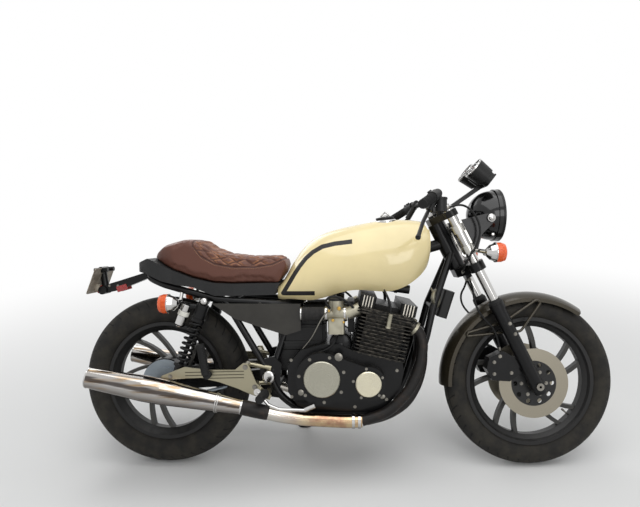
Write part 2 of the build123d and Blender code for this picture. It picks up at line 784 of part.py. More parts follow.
with BuildPart() as master:
    add(rod(RESERVOIR, RESERVOIR + Vector(0, 0, RESERVOIR_HEIGHT), 24))
    add(rod(PERCH, RESERVOIR + Vector(0, 0, 18), 15))
    add(handlebar.part, mode=Mode.SUBTRACT)
    add(switch.part, mode=Mode.SUBTRACT)
controls = joined(both_sides(switch.part), master.part)
keep(controls, "hand_controls", "steering")

# Brake hoses, all on the turning front end


def steered_point(u, y, w):
    """A point given in the plane of the steering head, in the machine's own frame."""
    point = STEER.from_local_coords((u, 0, w))
    return Vector(point.X, y, point.Z)


HOSE_RADIUS = 4.0
HOSES = {
    "master_hose": [
        RESERVOIR + Vector(20, 6, 10),
        (1128, -176, 1014),
        (1176, -150, 1010),
        (1214, -140, 972),
        (1230, -139, 918),
        (1214, -138, 862),
        (1190, -132, 826),
        (1176, -118, 796),
        (1176, -92, 775),
        steered_point(-4, -56, 500),
    ],
    "right_brake_hose": [
        steered_point(SPLITTER["u"], -14, SPLITTER_FOOT - 0.1),
        (1228, -26, 702),
        (1224, -52, 660),
        (1232, -72, 616),
        (1256, -78, 580),
        (1288, -80, 550),
        (1306, -80, 506),
        steered_point(-16, -78, 172.1),
    ],
    "left_brake_hose": [
        steered_point(SPLITTER["u"], 14, SPLITTER_FOOT - 0.1),
        (1216, 32, 704),
        (1202, 60, 668),
        (1212, 80, 624),
        (1242, 82, 586),
        (1280, 82, 556),
        (1304, 80, 508),
        steered_point(-16, 78, 172.1),
    ],
}
for node, route in HOSES.items():
    hose = trimmed(tube(route, HOSE_RADIUS), controls, lower_yoke.part, both_sides(caliper.part))
    keep(hose, node, "steering")
    radii = bend_radii(route)
    print(node, "bend radii", [round(radius) for radius in radii])
    print(node, "volume over section", round(hose.volume / (math.pi * HOSE_RADIUS**2)))

# Engine

CLUTCH = (638, 378)
CRANK = (811, 360)
BLOCK_FOOT = Vector(846, 0, 455)
tilt = math.radians(CYLINDER_TILT)
block_up = (math.sin(tilt), 0, math.cos(tilt))
BLOCK = Plane(BLOCK_FOOT, x_dir=(math.cos(tilt), 0, -math.sin(tilt)), z_dir=block_up)
BORES = (-1.5 * BORE_SPACING, -0.5 * BORE_SPACING, 0.5 * BORE_SPACING, 1.5 * BORE_SPACING)
DECK_BACK = BLOCK.from_local_coords((-98, 0, 0))
DECK_FRONT = BLOCK.from_local_coords((98, 0, 0))

case_outline = [
    (DECK_FRONT.X, DECK_FRONT.Z),
    (946, 395),
    (932, 335),
    (892, 275),
    (850, 243),
    (600, 243),
    (540, 268),
    (506, 318),
    (506, 420),
    (556, 478),
    (640, 500),
    (700, 500),
    (DECK_BACK.X, DECK_BACK.Z),
]
crankcase = plate(case_outline, CASE_HALF, 2 * CASE_HALF)
keep(crankcase, "crankcase")


def engine_cover():
    """The black casing outside the crankcase and the two round covers on it."""
    with BuildPart() as casing:
        with BuildSketch(Plane.XZ.offset(CASE_HALF)):
            with Locations(CLUTCH):
                Circle(CLUTCH_RADIUS + 30)
            with Locations(CRANK):
                Circle(PICKUP_RADIUS + 16)
            with BuildLine():
                Polyline((638, 290), (800, 300), (806, 420), (690, 462), (600, 455), close=True)
            make_face()
        extrude(amount=COVER_DEPTH)
    with BuildPart() as caps:
        with BuildSketch(Plane.XZ.offset(CASE_HALF + COVER_DEPTH)):
            with Locations(CLUTCH):
                Circle(CLUTCH_RADIUS)
            with Locations(CRANK):
                Circle(PICKUP_RADIUS)
        extrude(amount=DISC_COVER_DEPTH)
        chamfer(caps.faces().sort_by(Axis.Y)[0:2].edges(), 3)
    return casing.part, caps.part


casing, caps = engine_cover()
keep(both_sides(casing), "engine_casings")
keep(both_sides(caps), "round_covers")

PORT_WAY = Vector(0.78, 0, -0.63).normalized()
PORT_RADIUS = HEADER_RADIUS + 5


def port_mouth(bore_y):
    """The face of an exhaust port, where its header is bolted on."""
    return Vector(986, bore_y, 558)


def exhaust_ports():
    with BuildPart() as stubs:
        for bore_y in BORES:
            add(rod(port_mouth(bore_y) - PORT_WAY * 41, port_mouth(bore_y), PORT_RADIUS))
    return stubs.part


with BuildPart() as cylinders:
    with BuildSketch(BLOCK):
        Rectangle(150, BLOCK_WIDTH - 30)
    extrude(amount=BLOCK_HEIGHT)
    for fin in range(FIN_COUNT):
        with BuildSketch(BLOCK.offset(6 + fin * FIN_PITCH)):
            with Locations((2, 0)):
                RectangleRounded(200, BLOCK_WIDTH, 14)
        extrude(amount=FIN_THICK)
    add(exhaust_ports(), mode=Mode.SUBTRACT)
keep(cylinders.part, "cylinders")

with BuildPart() as cylinder_head:
    with BuildSketch(BLOCK.offset(BLOCK_HEIGHT)):
        with Locations((-4, 0)):
            RectangleRounded(196, BLOCK_WIDTH - 20, 12)
    extrude(amount=HEAD_HEIGHT)
    for fin in range(2):
        with BuildSketch(BLOCK.offset(BLOCK_HEIGHT + 4 + fin * 10)):
            with Locations((-4, 0)):
                RectangleRounded(214, BLOCK_WIDTH, 14)
        extrude(amount=FIN_THICK)
    add(exhaust_ports())
keep(cylinder_head.part, "cylinder_head")

CAM_FOOT = BLOCK_HEIGHT + HEAD_HEIGHT
with BuildPart() as cam_covers:
    for cam in (-CAM_SPREAD - 4, CAM_SPREAD):
        with BuildSketch(BLOCK.offset(CAM_FOOT)):
            with Locations((cam, 0)):
                RectangleRounded(CAM_BOX_WIDTH, 2 * CAM_BOX_HALF, 8)
        extrude(amount=CAM_BOX_HEIGHT)
        for rib in range(4):
            with BuildSketch(BLOCK.offset(CAM_FOOT)):
                with Locations((cam + (rib - 1.5) * 11, 0)):
                    Rectangle(4, 2 * CAM_BOX_HALF + 8)
            extrude(amount=CAM_BOX_HEIGHT)
    with BuildSketch(BLOCK.offset(CAM_FOOT)):
        with Locations((-2, 0)):
            Rectangle(110, 2 * CAM_BOX_HALF - 60)
    extrude(amount=16)
keep(cam_covers.part, "cam_covers")

# Carburettors and filters

CARB_Z = 615.0
with BuildPart() as carburettors:
    for bore_y in BORES:
        inlet = BLOCK.from_local_coords((-102.2, bore_y, BLOCK_HEIGHT + 10))
        add(rod((735, bore_y, CARB_Z), (inlet.X, inlet.Y, inlet.Z), 24))
        add(rod((650, bore_y, CARB_Z), (736, bore_y, CARB_Z), 27))
        add(rod((694, bore_y, CARB_Z), (694, bore_y, 668), 29))
        with BuildSketch(Plane((694, bore_y, 542))):
            RectangleRounded(62, 56, 8)
        extrude(amount=60)
    add(rod((694, BORES[0], 640), (694, BORES[3], 640), 8))
    add(cylinder_head.part, mode=Mode.SUBTRACT)
    add(cylinders.part, mode=Mode.SUBTRACT)
keep(carburettors.part, "carburettors")

with BuildPart() as filters:
    for bore_y in BORES:
        add(rod((563, bore_y, CARB_Z), (649.8, bore_y, CARB_Z), 26))
keep(filters.part, "air_filters")

# Frame

down = [
    (1148, -22, 838),
    (1066, -78, 630),
    (1038, -CRADLE_HALF, 520),
    (978, -CRADLE_HALF, 330),
    (930, -CRADLE_HALF, 226),
    (560, -CRADLE_HALF - 4, 226),
    (470, -RAIL_HALF, 300),
    (436, -RAIL_HALF, 374),
]
rail = [
    (640, -20, 734),
    (590, -24, 690),
    (548, -30, 652),
    (500, -80, 648),
    (450, -108, 654),
    (300, -RAIL_HALF, 666),
    (230, -RAIL_HALF, 673),
    (130, -108, 700),
    (20, -98, 730),
    (-40, -74, 752),
    (-66, -20, 762),
]

head_tube = head_cylinder(0, 0, HEAD_FOOT, HEAD_TOP, HEAD_RADIUS)
head_bore = head_cylinder(0, 0, HEAD_FOOT - 1, HEAD_TOP + 1, STEM_RADIUS + RUNNING_FIT)
with BuildPart() as frame:
    add(tube(down, DOWN_TUBE, most=160))
    add(tube(rail, UPPER_TUBE, most=120))
    add(rod((430, -RAIL_HALF, 385), (262, -RAIL_HALF, 672), UPPER_TUBE))
    add(rod((440, -RAIL_HALF, 380), (528, -52, 650), UPPER_TUBE))
    add(plate([(398, 300), (470, 290), (480, 420), (452, 450), (412, 440), (396, 400)], -RAIL_HALF + 6, 14))
    with BuildSketch(Plane.XY.offset(238)):
        with Locations((860 - 40, -CRADLE_HALF), (600, -CRADLE_HALF - 3)):
            Rectangle(40, 22)
    extrude(amount=5)
    add(rod((190, -RAIL_HALF, 668), (190, -RAIL_HALF - 10, 668), 15))
    mirror(about=Plane.XZ)
    add(rod((1125, 0, 877), (600, 0, 735), BACKBONE))
    add(rod((620, -26, 722), (620, 26, 722), 16))
    add(rod((300, -RAIL_HALF, 671), (300, RAIL_HALF, 671), 11))
    add(rod((-66, -24, 762), (-66, 24, 762), UPPER_TUBE))
    add(rod((452, -RAIL_HALF, 318), (452, RAIL_HALF, 318), 13))
    add(rod((1040, -92, 527), (1040, 92, 527), 11))
    add(head_tube)
    add(head_bore, mode=Mode.SUBTRACT)
    add(crossbar(PIVOT, -140, 140, PIVOT_BORE), mode=Mode.SUBTRACT)
keep(frame.part, "frame")


# Regulator in front of the down tubes
REGULATOR_TOP = STEER.from_local_coords((-72, 0, 455))
REGULATOR_FOOT = STEER.from_local_coords((-148, 0, 376))
REGULATOR_HALF = 34.0
REGULATOR_THICK = 42.0
regulator_way = (REGULATOR_FOOT - REGULATOR_TOP).normalized()
with BuildPart() as regulator:
    with BuildSketch(Plane(REGULATOR_TOP, x_dir=(0, 1, 0), z_dir=regulator_way)):
        RectangleRounded(2 * REGULATOR_HALF, REGULATOR_THICK, 10)
    extrude(amount=(REGULATOR_FOOT - REGULATOR_TOP).length)
    add(rod((1066, -84, 630), (1066, 84, 630), 8))
    add(rod((1066, 0, 630), REGULATOR_TOP + regulator_way * 60, 10))
    add(frame.part, mode=Mode.SUBTRACT)
keep(regulator.part, "regulator")

# Exhaust: two headers a side into one silencer a side

outer_mouth = port_mouth(BORES[0]) + PORT_WAY * 0.1
inner_mouth = port_mouth(BORES[1]) + PORT_WAY * 0.1
outer_route = [
    outer_mouth,
    outer_mouth + PORT_WAY * 26,
    (1018, -142, 500),
    (1006, -150, 415),
    (965, -160, 330),
    (882, -168, 248),
    (785, -172, 219),
]
inner_route = [
    inner_mouth,
    inner_mouth + PORT_WAY * 28,
    (1026, -52, 496),
    (1026, -74, 420),
    (1002, -110, 345),
    (956, -126, 272),
    (880, -134, 228),
    (804, -148, 214),
]
collector_route = [
    (784.8, -172, 219),
    (729, -175, 217),
    (566, -186, 229),
    (478, -194, 244),
    (400, -204, 266),
    (346, -212, 281.5),
]
PIPE_WALL = 2.5
outer_solid = tube(outer_route, HEADER_RADIUS)
inner_solid = tube(inner_route, HEADER_RADIUS - 1)
collector_solid = tube(collector_route, COLLECTOR_RADIUS)
collector = tube(collector_route, COLLECTOR_RADIUS, COLLECTOR_RADIUS - PIPE_WALL)
with BuildPart() as headers:
    add(outer_solid)
    add(inner_solid)
    add(tube(outer_route, HEADER_RADIUS - PIPE_WALL), mode=Mode.SUBTRACT)
    add(tube(inner_route, HEADER_RADIUS - 1 - PIPE_WALL), mode=Mode.SUBTRACT)
    add(collector_solid, mode=Mode.SUBTRACT)
    add(frame.part, mode=Mode.SUBTRACT)
keep(both_sides(headers.part), "header_pipes")
keep(both_sides(collector), "collector_pipes")

SILENCER_NOSE = Vector(345.8, -SILENCER_Y + 2.8, 281.6)
SILENCER_TAIL = Vector(-236, -SILENCER_Y - 4, 394)
silencer_way = SILENCER_TAIL - SILENCER_NOSE
silencer_length = silencer_way.length
silencer_profile = [
    (0, 16),
    (0, 25),
    (96, 34),
    (310, 47.5),
    (380, 48),
    (silencer_length, 37),
    (silencer_length, 22),
    (silencer_length - 90, 22),
    (silencer_length - 90, 32),
    (380, 44),
    (310, 44),
    (96, 30),
]
silencer = turned(silencer_profile, SILENCER_NOSE, silencer_way.normalized())
keep(both_sides(trimmed(silencer, collector_solid)), "silencers")

# Tank: sections along its length, each with a flat belly, rounded sides and a crowned top

TANK_SECTIONS = [
    # x, half width of the belly, widest half width, its height, half width of the top, top, belly height
    {"x": 466, "belly": 74, "wide": 84, "waist": 700, "shoulder": 60, "top": 722, "floor": 670},
    {"x": 500, "belly": 88, "wide": 104, "waist": 706, "shoulder": 66, "top": 768, "floor": 668},
    {"x": 545, "belly": 94, "wide": 116, "waist": 722, "shoulder": 70, "top": 842, "floor": 667},
    {"x": 610, "belly": 98, "wide": 124, "waist": 752, "shoulder": 78, "top": 903, "floor": 666},
    {"x": 700, "belly": 104, "wide": 130, "waist": 784, "shoulder": 84, "top": 938, "floor": 690},
    {"x": 820, "belly": 104, "wide": 132, "waist": 800, "shoulder": 86, "top": 962, "floor": 700},
    {"x": 930, "belly": 98, "wide": 128, "waist": 808, "shoulder": 82, "top": 972, "floor": 702},
    {"x": 1005, "belly": 80, "wide": 112, "waist": 840, "shoulder": 70, "top": 968, "floor": 742},
    {"x": 1058, "belly": 54, "wide": 86, "waist": 884, "shoulder": 52, "top": 950, "floor": 822},
]
YOKE_ROOM = 6.0
lock = math.radians(STEER_LIMIT)
YOKE_SWING = FORK_HALF * math.sin(lock) - (FORK_OFFSET - YOKE_WAIST) * math.cos(lock)
with BuildPart() as tank:
    for row in TANK_SECTIONS:
        with BuildSketch(Plane((row["x"], 0, 0), x_dir=(0, 1, 0), z_dir=(1, 0, 0))):
            belly, wide, shoulder = row["belly"], row["wide"], row["shoulder"]
            top, floor, waist = row["top"], row["floor"], row["waist"]
            brow = waist + (top - waist) * 0.74
            with BuildLine():
                Line((-belly, floor), (belly, floor))
                ThreePointArc((belly, floor), (wide, waist), (shoulder, brow))
                ThreePointArc((shoulder, brow), (0, top), (-shoulder, brow))
                ThreePointArc((-shoulder, brow), (-wide, waist), (-belly, floor))
            make_face()
    loft()
    with BuildSketch(Plane.XZ):
        with BuildLine():
            Polyline(
                (440, 640), (440, 716), (560, 762), (640, 776), (1090, 900), (1200, 900), (1200, 640),
                close=True,
            )
        make_face()
    extrude(amount=44, both=True, mode=Mode.SUBTRACT)
    with BuildSketch(STEER.offset(TOP_CLAMP_FOOT - YOKE_ROOM)):
        with Locations((-YOKE_SWING - YOKE_ROOM, 0)):
            Rectangle(200, 400, align=(Align.MIN, Align.CENTER))
    extrude(amount=120, mode=Mode.SUBTRACT)
TANK = tank.part
keep(TANK, "fuel_tank")

CAP_SEAT = Vector(893, 0, 962)
with BuildPart() as cap:
    add(rod(CAP_SEAT, CAP_SEAT + Vector(-3, 0, 24), 45))
    add(TANK, mode=Mode.SUBTRACT)
keep(cap.part, "fuel_cap")

# Seat: a dark base with a rounded tail and the padded leather above it

BAND_LOWER = [
    (455, 686),
    (279, 686),
    (224, 687),
    (200, 696),
    (144, 720),
    (76, 730),
    (16, 747),
    (-52, 776),
    (-108, 782),
]
BAND_UPPER = [(-104, 812), (-41, 833), (-16, 825), (60, 787), (140, 755), (220, 736), (291, 732), (476, 732)]
PAD_UPPER = [
    (508, 800),
    (500, 824),
    (484, 832),
    (359, 832),
    (264, 842),
    (207, 864),
    (161, 893),
    (118, 905),
    (70, 894),
    (16, 880),
    (-17, 859),
    (-40, 836),
]


def seat_plan(half, tail, front_half):
    """The seat seen from above: straight sides and a round tail."""
    with BuildPart() as outline:
        with BuildSketch(Plane.XY.offset(600)):
            with BuildLine():
                Line((60, -half), (300, -half + 3))
                Line((300, -half + 3), (520, -front_half))
                Line((520, -front_half), (520, front_half))
                Line((520, front_half), (300, half - 3))
                Line((300, half - 3), (60, half))
                ThreePointArc((60, half), (tail, 0), (60, -half))
            make_face()
        extrude(amount=400)
    return outline.part


band_side = plate(BAND_LOWER + BAND_UPPER, 150, 300)
with BuildPart() as seat_base:
    add(band_side)
    add(seat_plan(128, -107, 92), mode=Mode.INTERSECT)
    add(frame.part, mode=Mode.SUBTRACT)
    add(TANK, mode=Mode.SUBTRACT)
keep(seat_base.part, "seat_base")

pad_lower = [(x, z + 0.3) for x, z in BAND_UPPER[1:]]
pad_side = plate(pad_lower + PAD_UPPER, 150, 300)
with BuildPart() as seat_pad:
    add(pad_side)
    add(seat_plan(118, -44, 84), mode=Mode.INTERSECT)
    add(TANK, mode=Mode.SUBTRACT)
keep(seat_pad.part, "seat_pad")

# Side covers

side_cover = plate([(214, 658), (300, 600), (400, 566), (500, 534), (558, 552), (558, 654)], -127, 4)
cover_stay = rod((400, -110, 655), (400, -127, 655), 6)
keep(both_sides(joined(side_cover, trimmed(cover_stay, frame.part))), "side_covers")

# Swingarm, shaft drive, rear axle and brake

ARM_INSIDE = -76.0
ARM_THICK = 26.0
SHAFT_HOUSING = 28.0
arm_outline = [
    (PIVOT.X, PIVOT.Z + 24),
    (300, 388),
    (60, 356),
    (-34, 354),
    (-34, 320),
    (60, 318),
    (300, 334),
    (PIVOT.X, PIVOT.Z - 24),
]
right_arm = plate(arm_outline, ARM_INSIDE, ARM_THICK)
with BuildPart() as swingarm:
    add(right_arm)
    add(crossbar(PIVOT, -100, 100, 24))
    add(rod((380, -96, 366), (380, 96, 366), 20))
    add(tube([(PIVOT.X, 74, PIVOT.Z), (330, 95, 366), (40, 97, 342)], SHAFT_HOUSING))
    add(crossbar(REAR_AXLE, 56, 116, 72))
    add(crossbar(REAR_AXLE, 116, 126, 50))
    add(rod((72, -90, 372), (72, -135, 372), 9))
    add(rod((72, 90, 372), (72, 135, 372), 9))
    add(rod((72, -90, 352), (72, -90, 376), 14))
    add(crossbar(PIVOT, -130, 130, PIVOT_BORE), mode=Mode.SUBTRACT)
    add(crossbar(REAR_AXLE, -140, 140, AXLE_RADIUS + TOUCH_GAP), mode=Mode.SUBTRACT)
    add(frame.part, mode=Mode.SUBTRACT)
keep(swingarm.part, "swingarm")

with BuildPart() as pivot_shaft:
    add(crossbar(PIVOT, -140, 140, PIVOT_RADIUS))
    for way in (-1, 1):
        add(crossbar(PIVOT, way * 121, way * 146, 26))
    fillet(pivot_shaft.faces().sort_by(Axis.Y)[0].edges(), 12)
    fillet(pivot_shaft.faces().sort_by(Axis.Y)[-1].edges(), 12)
    add(frame.part, mode=Mode.SUBTRACT)
keep(pivot_shaft.part, "pivot_shaft")

with BuildPart() as rear_axle:
    add(crossbar(REAR_AXLE, -118, 134, AXLE_RADIUS))
    add(crossbar(REAR_AXLE, -102.2, -112, 17))
    add(crossbar(REAR_AXLE, 126.2, 136, 15))
    add(crossbar(REAR_AXLE, -50.3, -55.6, 15))
    add(crossbar(REAR_AXLE, -72.2, -75.8, 15))
    add(crossbar(REAR_AXLE, 50.3, 55.8, 15))
keep(rear_axle.part, "rear_axle")

with BuildPart() as brake_panel:
    add(crossbar(REAR_AXLE, -55.8, -64, 89))
    add(crossbar(REAR_AXLE, -64, -72, 60))
    add(crossbar(REAR_AXLE, -20, -56, 70))
    add(crossbar(REAR_AXLE, -10, -56, 46), mode=Mode.SUBTRACT)
    add(crossbar(REAR_AXLE, -140, 140, AXLE_RADIUS + TOUCH_GAP), mode=Mode.SUBTRACT)
    add(rod((28, -60, 268), (28, -80, 268), 10))
    add(rod((28, -74, 268), (250, -74, 321), 6))
    add(rod((250, -70, 321), (250, -92, 345), 8))
    add(swingarm.part, mode=Mode.SUBTRACT)
keep(brake_panel.part, "brake_panel")

# Shocks

SHOCK_FOOT = Vector(72, -135, 372)
SHOCK_HEAD = Vector(190, -137, 668)
shock_way = (SHOCK_HEAD - SHOCK_FOOT).normalized()
shock_length = (SHOCK_HEAD - SHOCK_FOOT).length
with BuildPart() as shock:
    add(rod(SHOCK_FOOT + Vector(0, 10, 0), SHOCK_FOOT - Vector(0, 12, 0), 17))
    add(rod(SHOCK_HEAD + Vector(0, 14, 0), SHOCK_HEAD - Vector(0, 12, 0), 17))
    add(rod(SHOCK_FOOT + shock_way * 12, SHOCK_FOOT + shock_way * 62, 20))
    add(rod(SHOCK_FOOT + shock_way * 12, SHOCK_HEAD - shock_way * 12, 9))
    add(rod(SHOCK_FOOT + shock_way * 50, SHOCK_FOOT + shock_way * 62, 28))
    add(rod(SHOCK_HEAD - shock_way * 70, SHOCK_HEAD - shock_way * 14, 24))
    add(rod(SHOCK_HEAD - shock_way * 82, SHOCK_HEAD - shock_way * 70, 28))

SPRING_TURNS = 8
SPRING_WIRE = 4.5
SPRING_RADIUS = 23.0
spring_foot = SHOCK_FOOT + shock_way * (62 + SPRING_WIRE + 0.1)
spring_height = shock_length - 82 - 62 - 2 * SPRING_WIRE - 0.2
with BuildPart() as spring:
    with BuildLine() as coil:
        Helix(spring_height / SPRING_TURNS, spring_height, SPRING_RADIUS, spring_foot, shock_way)
    with BuildSketch(Plane(coil.line @ 0, z_dir=coil.line % 0)):
        Circle(SPRING_WIRE)
    sweep(path=coil.line, is_frenet=True)
keep(both_sides(spring.part), "shock_springs")

RESERVOIR_FOOT = SHOCK_HEAD - shock_way * 118 - Vector(58, -2, -18)
with BuildPart() as reservoir:
    add(rod(RESERVOIR_FOOT, RESERVOIR_FOOT + shock_way * 92, 19))
    add(rod(RESERVOIR_FOOT + shock_way * 42, RESERVOIR_FOOT + shock_way * 58, 21))
    add(rod(RESERVOIR_FOOT + shock_way * 80, SHOCK_HEAD - shock_way * 26, 12))
    add(shock.part)
keep(trimmed(both_sides(reservoir.part), frame.part, swingarm.part), "shocks")

# Footrest plates, pegs and pedals

PLATE_Y = -168.0
PLATE_THICK = 8.0
plate_outline = [
    (18, 374),
    (30, 390),
    (117, 423),
    (205, 412),
    (311, 412),
    (340, 436),
    (360, 436),
    (391, 362),
    (420, 337),
    (448, 314),
    (440, 298),
    (372, 318),
    (318, 342),
    (249, 366),
    (180, 382),
    (100, 378),
]
with BuildPart() as footrest_plate:
    add(plate(plate_outline, PLATE_Y, PLATE_THICK))
    for bolt in ((350, 422), (385, 347), (430, 318)):
        add(rod((bolt[0], -118.2, bolt[1]), (bolt[0], PLATE_Y, bolt[1]), 11))
    add(rod((350, -118, 422), (440, -118, 405), 9))
    add(rod((385, -118, 347), (440, -118, 350), 9))
    add(silencer, mode=Mode.SUBTRACT)
    add(collector_solid, mode=Mode.SUBTRACT)
    add(shock.part, mode=Mode.SUBTRACT)
    add(pivot_shaft.part, mode=Mode.SUBTRACT)
keep(trimmed(both_sides(footrest_plate.part), frame.part, swingarm.part), "footrest_plates")

PLATE_OUT = PLATE_Y - PLATE_THICK
PEDAL_ROD = 6.5
LEVER_ROD = 6.0
with BuildPart() as pegs:
    add(rod((424, PLATE_OUT - 0.2, 325), (424, PLATE_OUT - 14, 325), 14))
    add(rod((424, PLATE_OUT - 14, 325), (420, PLATE_OUT - 110, 330), 14))
    add(rod((424, PLATE_OUT - 14, 325), (424, PLATE_OUT - 18, 325), 18))
    add(collector_solid, mode=Mode.SUBTRACT)

with BuildPart() as passenger_peg:
    add(rod((208, PLATE_OUT - 0.2, 396), (208, PLATE_OUT - 22, 396), 15))
    add(rod((203, PLATE_OUT - 16, 398), (184, PLATE_OUT - 16, 512), 15))
    add(silencer, mode=Mode.SUBTRACT)
keep(joined(both_sides(pegs.part), both_sides(passenger_peg.part)), "pegs")

with BuildPart() as brake_pedal:
    add(rod((397, PLATE_OUT - 0.2, 333), (397, PLATE_OUT - 20, 333), 13))
    pedal_route = [
        (397, PLATE_OUT - 14, 333),
        (440, PLATE_OUT - 18, 283),
        (480, PLATE_OUT - 20, 268),
        (575, PLATE_OUT - 22, 266),
    ]
    add(tube(pedal_route, PEDAL_ROD, most=30))
    add(rod((574, PLATE_OUT - 22, 268), (612, PLATE_OUT - 22, 284), 9))
    add(collector_solid, mode=Mode.SUBTRACT)
    add(pegs.part, mode=Mode.SUBTRACT)
keep(brake_pedal.part, "brake_pedal")

with BuildPart() as gear_lever:
    add(rod((397, PLATE_OUT - 0.2, 333), (397, PLATE_OUT - 16, 333), 12))
    lever_route = [(397, PLATE_OUT - 10, 333), (440, PLATE_OUT - 14, 300), (560, PLATE_OUT - 16, 292)]
    add(tube(lever_route, LEVER_ROD, most=30))
    add(rod((560, PLATE_OUT - 8, 292), (560, PLATE_OUT - 54, 292), 9))
    add(rod((440, PLATE_OUT - 12, 300), (560, -CASE_HALF - COVER_DEPTH + 14, 352), 4))
    add(collector_solid, mode=Mode.SUBTRACT)
    add(pegs.part, mode=Mode.SUBTRACT)
    add(casing, mode=Mode.SUBTRACT)
keep(mirror(gear_lever.part, about=Plane.XZ), "gear_lever")

# Tail: plate arm, lamp, blank plate and indicators

tail_outline = [(-60, 756), (-200, 702), (-262, 690), (-270, 712), (-236, 730), (-180, 746), (-60, 782)]
plate_arm = plate(tail_outline, 20, 40)
with BuildPart() as arm:
    add(trimmed(plate_arm, seat_base.part, frame.part))
    add(rod((-262, -30, 704), (-262, 30, 704), 17))
    add(rod((-258, 0, 706), (-270, 0, 790), 14))
    add(rod((-292, -28, 786), (-236, -28, 790), 9))
    add(rod((-292, 28, 786), (-236, 28, 790), 9))
    add(rod((-266, -30, 788), (-266, 30, 788), 12))
keep(arm.part, "plate_arm")

plate_plane = Plane((-290, 0, 708), x_dir=(0, 1, 0), z_dir=Vector(-0.93, 0, 0.36))
with BuildPart() as number_plate:
    with BuildSketch(plate_plane.offset(2)):
        with Locations((0, -38)):
            RectangleRounded(182, 108, 8)
    extrude(amount=2.5)
    with BuildSketch(plate_plane.offset(-12)):
        with Locations((0, -8)):
            Rectangle(60, 30)
    extrude(amount=14)
    add(arm.part, mode=Mode.SUBTRACT)
keep(number_plate.part, "number_plate")

rear_lamp, rear_lens = indicator(Vector(44, -178, 664), False, (90, -118, 668))
lamp_bracket = rod((94, -104, 709), (90, -122, 662), 7)
rear_lamp = trimmed(joined(rear_lamp, lamp_bracket), frame.part, seat_base.part)
keep(both_sides(rear_lamp), "rear_indicators")
keep(both_sides(rear_lens), "rear_indicator_lenses")

# Side stand, down on its stop

GROUND_UP = Vector(0, -math.sin(math.radians(LEAN)), math.cos(math.radians(LEAN)))
GROUND_DROP = REAR_WIDTH / 2 * (1 - math.cos(math.radians(LEAN)))
STAND_PIVOT = Vector(500, 122, 214)
FOOT_X = 536.0
FOOT_Y = 262.0
foot_z = (FOOT_Y * math.sin(math.radians(LEAN)) - GROUND_DROP) / math.cos(math.radians(LEAN))
STAND_FOOT = Vector(FOOT_X, FOOT_Y, foot_z)
stand_down = (STAND_FOOT - STAND_PIVOT).normalized()
stand_folded = Vector(-1, 0.07, 0.09).normalized()
STAND_AXIS = stand_down.cross(stand_folded).normalized()
foot_plane = Plane(STAND_FOOT, x_dir=(1, 0, 0), z_dir=GROUND_UP)
with BuildPart() as stand_leg:
    add(rod(STAND_PIVOT - STAND_AXIS * 7, STAND_PIVOT + STAND_AXIS * 7, 15))
    add(rod(STAND_PIVOT, STAND_FOOT + GROUND_UP * 8, 10))
    with BuildSketch(foot_plane):
        Ellipse(34, 22)
    extrude(amount=7)
    add(rod(STAND_PIVOT - STAND_AXIS * 20, STAND_PIVOT + STAND_AXIS * 20, 6.1), mode=Mode.SUBTRACT)
    with BuildSketch(foot_plane.offset(-60)):
        Rectangle(200, 200)
    extrude(amount=60, mode=Mode.SUBTRACT)
keep(stand_leg.part, "side_stand_leg", "side_stand")

with BuildPart() as stand_bracket:
    add(rod(STAND_PIVOT - STAND_AXIS * 15, STAND_PIVOT + STAND_AXIS * 15, 6))
    add(rod(STAND_PIVOT - STAND_AXIS * 15, STAND_PIVOT - STAND_AXIS * 7.3, 16))
    add(rod(STAND_PIVOT + STAND_AXIS * 7.3, STAND_PIVOT + STAND_AXIS * 15, 16))
    add(rod(STAND_PIVOT - STAND_AXIS * 11, (500, 100, 250), 9))
    add(rod(STAND_PIVOT + STAND_AXIS * 11, (520, 100, 240), 9))
    add(frame.part, mode=Mode.SUBTRACT)
    add(stand_leg.part, mode=Mode.SUBTRACT)
keep(stand_bracket.part, "side_stand_bracket")

# Write out

TURNED = ("steering", "front_wheel")
steer_axis = Axis(STEER_FOOT, STEER.z_dir)
lean_axis = Axis((0, 0, 0), (1, 0, 0))


def parked(piece, body):
    """Turns the front end to the left and leans the machine onto its stand."""
    if body in TURNED:
        piece = piece.rotate(steer_axis, REST_STEER)
    return piece.rotate(lean_axis, -LEAN)


stood = {}
for body, pieces in BODIES.items():
    for piece in pieces:
        label = piece.label
        stood[label] = parked(piece, body)
        stood[label].label = label

boxes = [piece.bounding_box() for piece in stood.values()]
low = Vector(*(min(getattr(box.min, axis) for box in boxes) for axis in "XYZ"))
high = Vector(*(max(getattr(box.max, axis) for box in boxes) for axis in "XYZ"))
shift = Vector(-(low.X + high.X) / 2, -(low.Y + high.Y) / 2, -low.Z)
for node, piece in stood.items():
    placed = piece.translate(shift)
    placed.label = node
    export_step(placed, f"parts/{node}.step")
print("origin", shift)
print("size", high - low)
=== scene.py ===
import json
import math

import bmesh
import bpy
from bpy.props import FloatProperty, FloatVectorProperty, IntProperty, PointerProperty
from mathutils import Matrix, Vector


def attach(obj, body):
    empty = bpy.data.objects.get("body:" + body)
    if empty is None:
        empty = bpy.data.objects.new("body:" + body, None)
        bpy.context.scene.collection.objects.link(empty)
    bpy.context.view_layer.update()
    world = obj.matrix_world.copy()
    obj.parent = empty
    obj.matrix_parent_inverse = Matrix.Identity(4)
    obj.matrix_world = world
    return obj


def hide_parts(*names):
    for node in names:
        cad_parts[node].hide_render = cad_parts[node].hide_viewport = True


# A cafe racer motorcycle on its side stand. The frame holds its solid pieces in metres, leant and with the
# front end turned. Here every place is written in millimetres on the upright machine, x forward from the rear
# axle, y to the rider's left and z up from the ground, and PLACE puts it on the leant one.

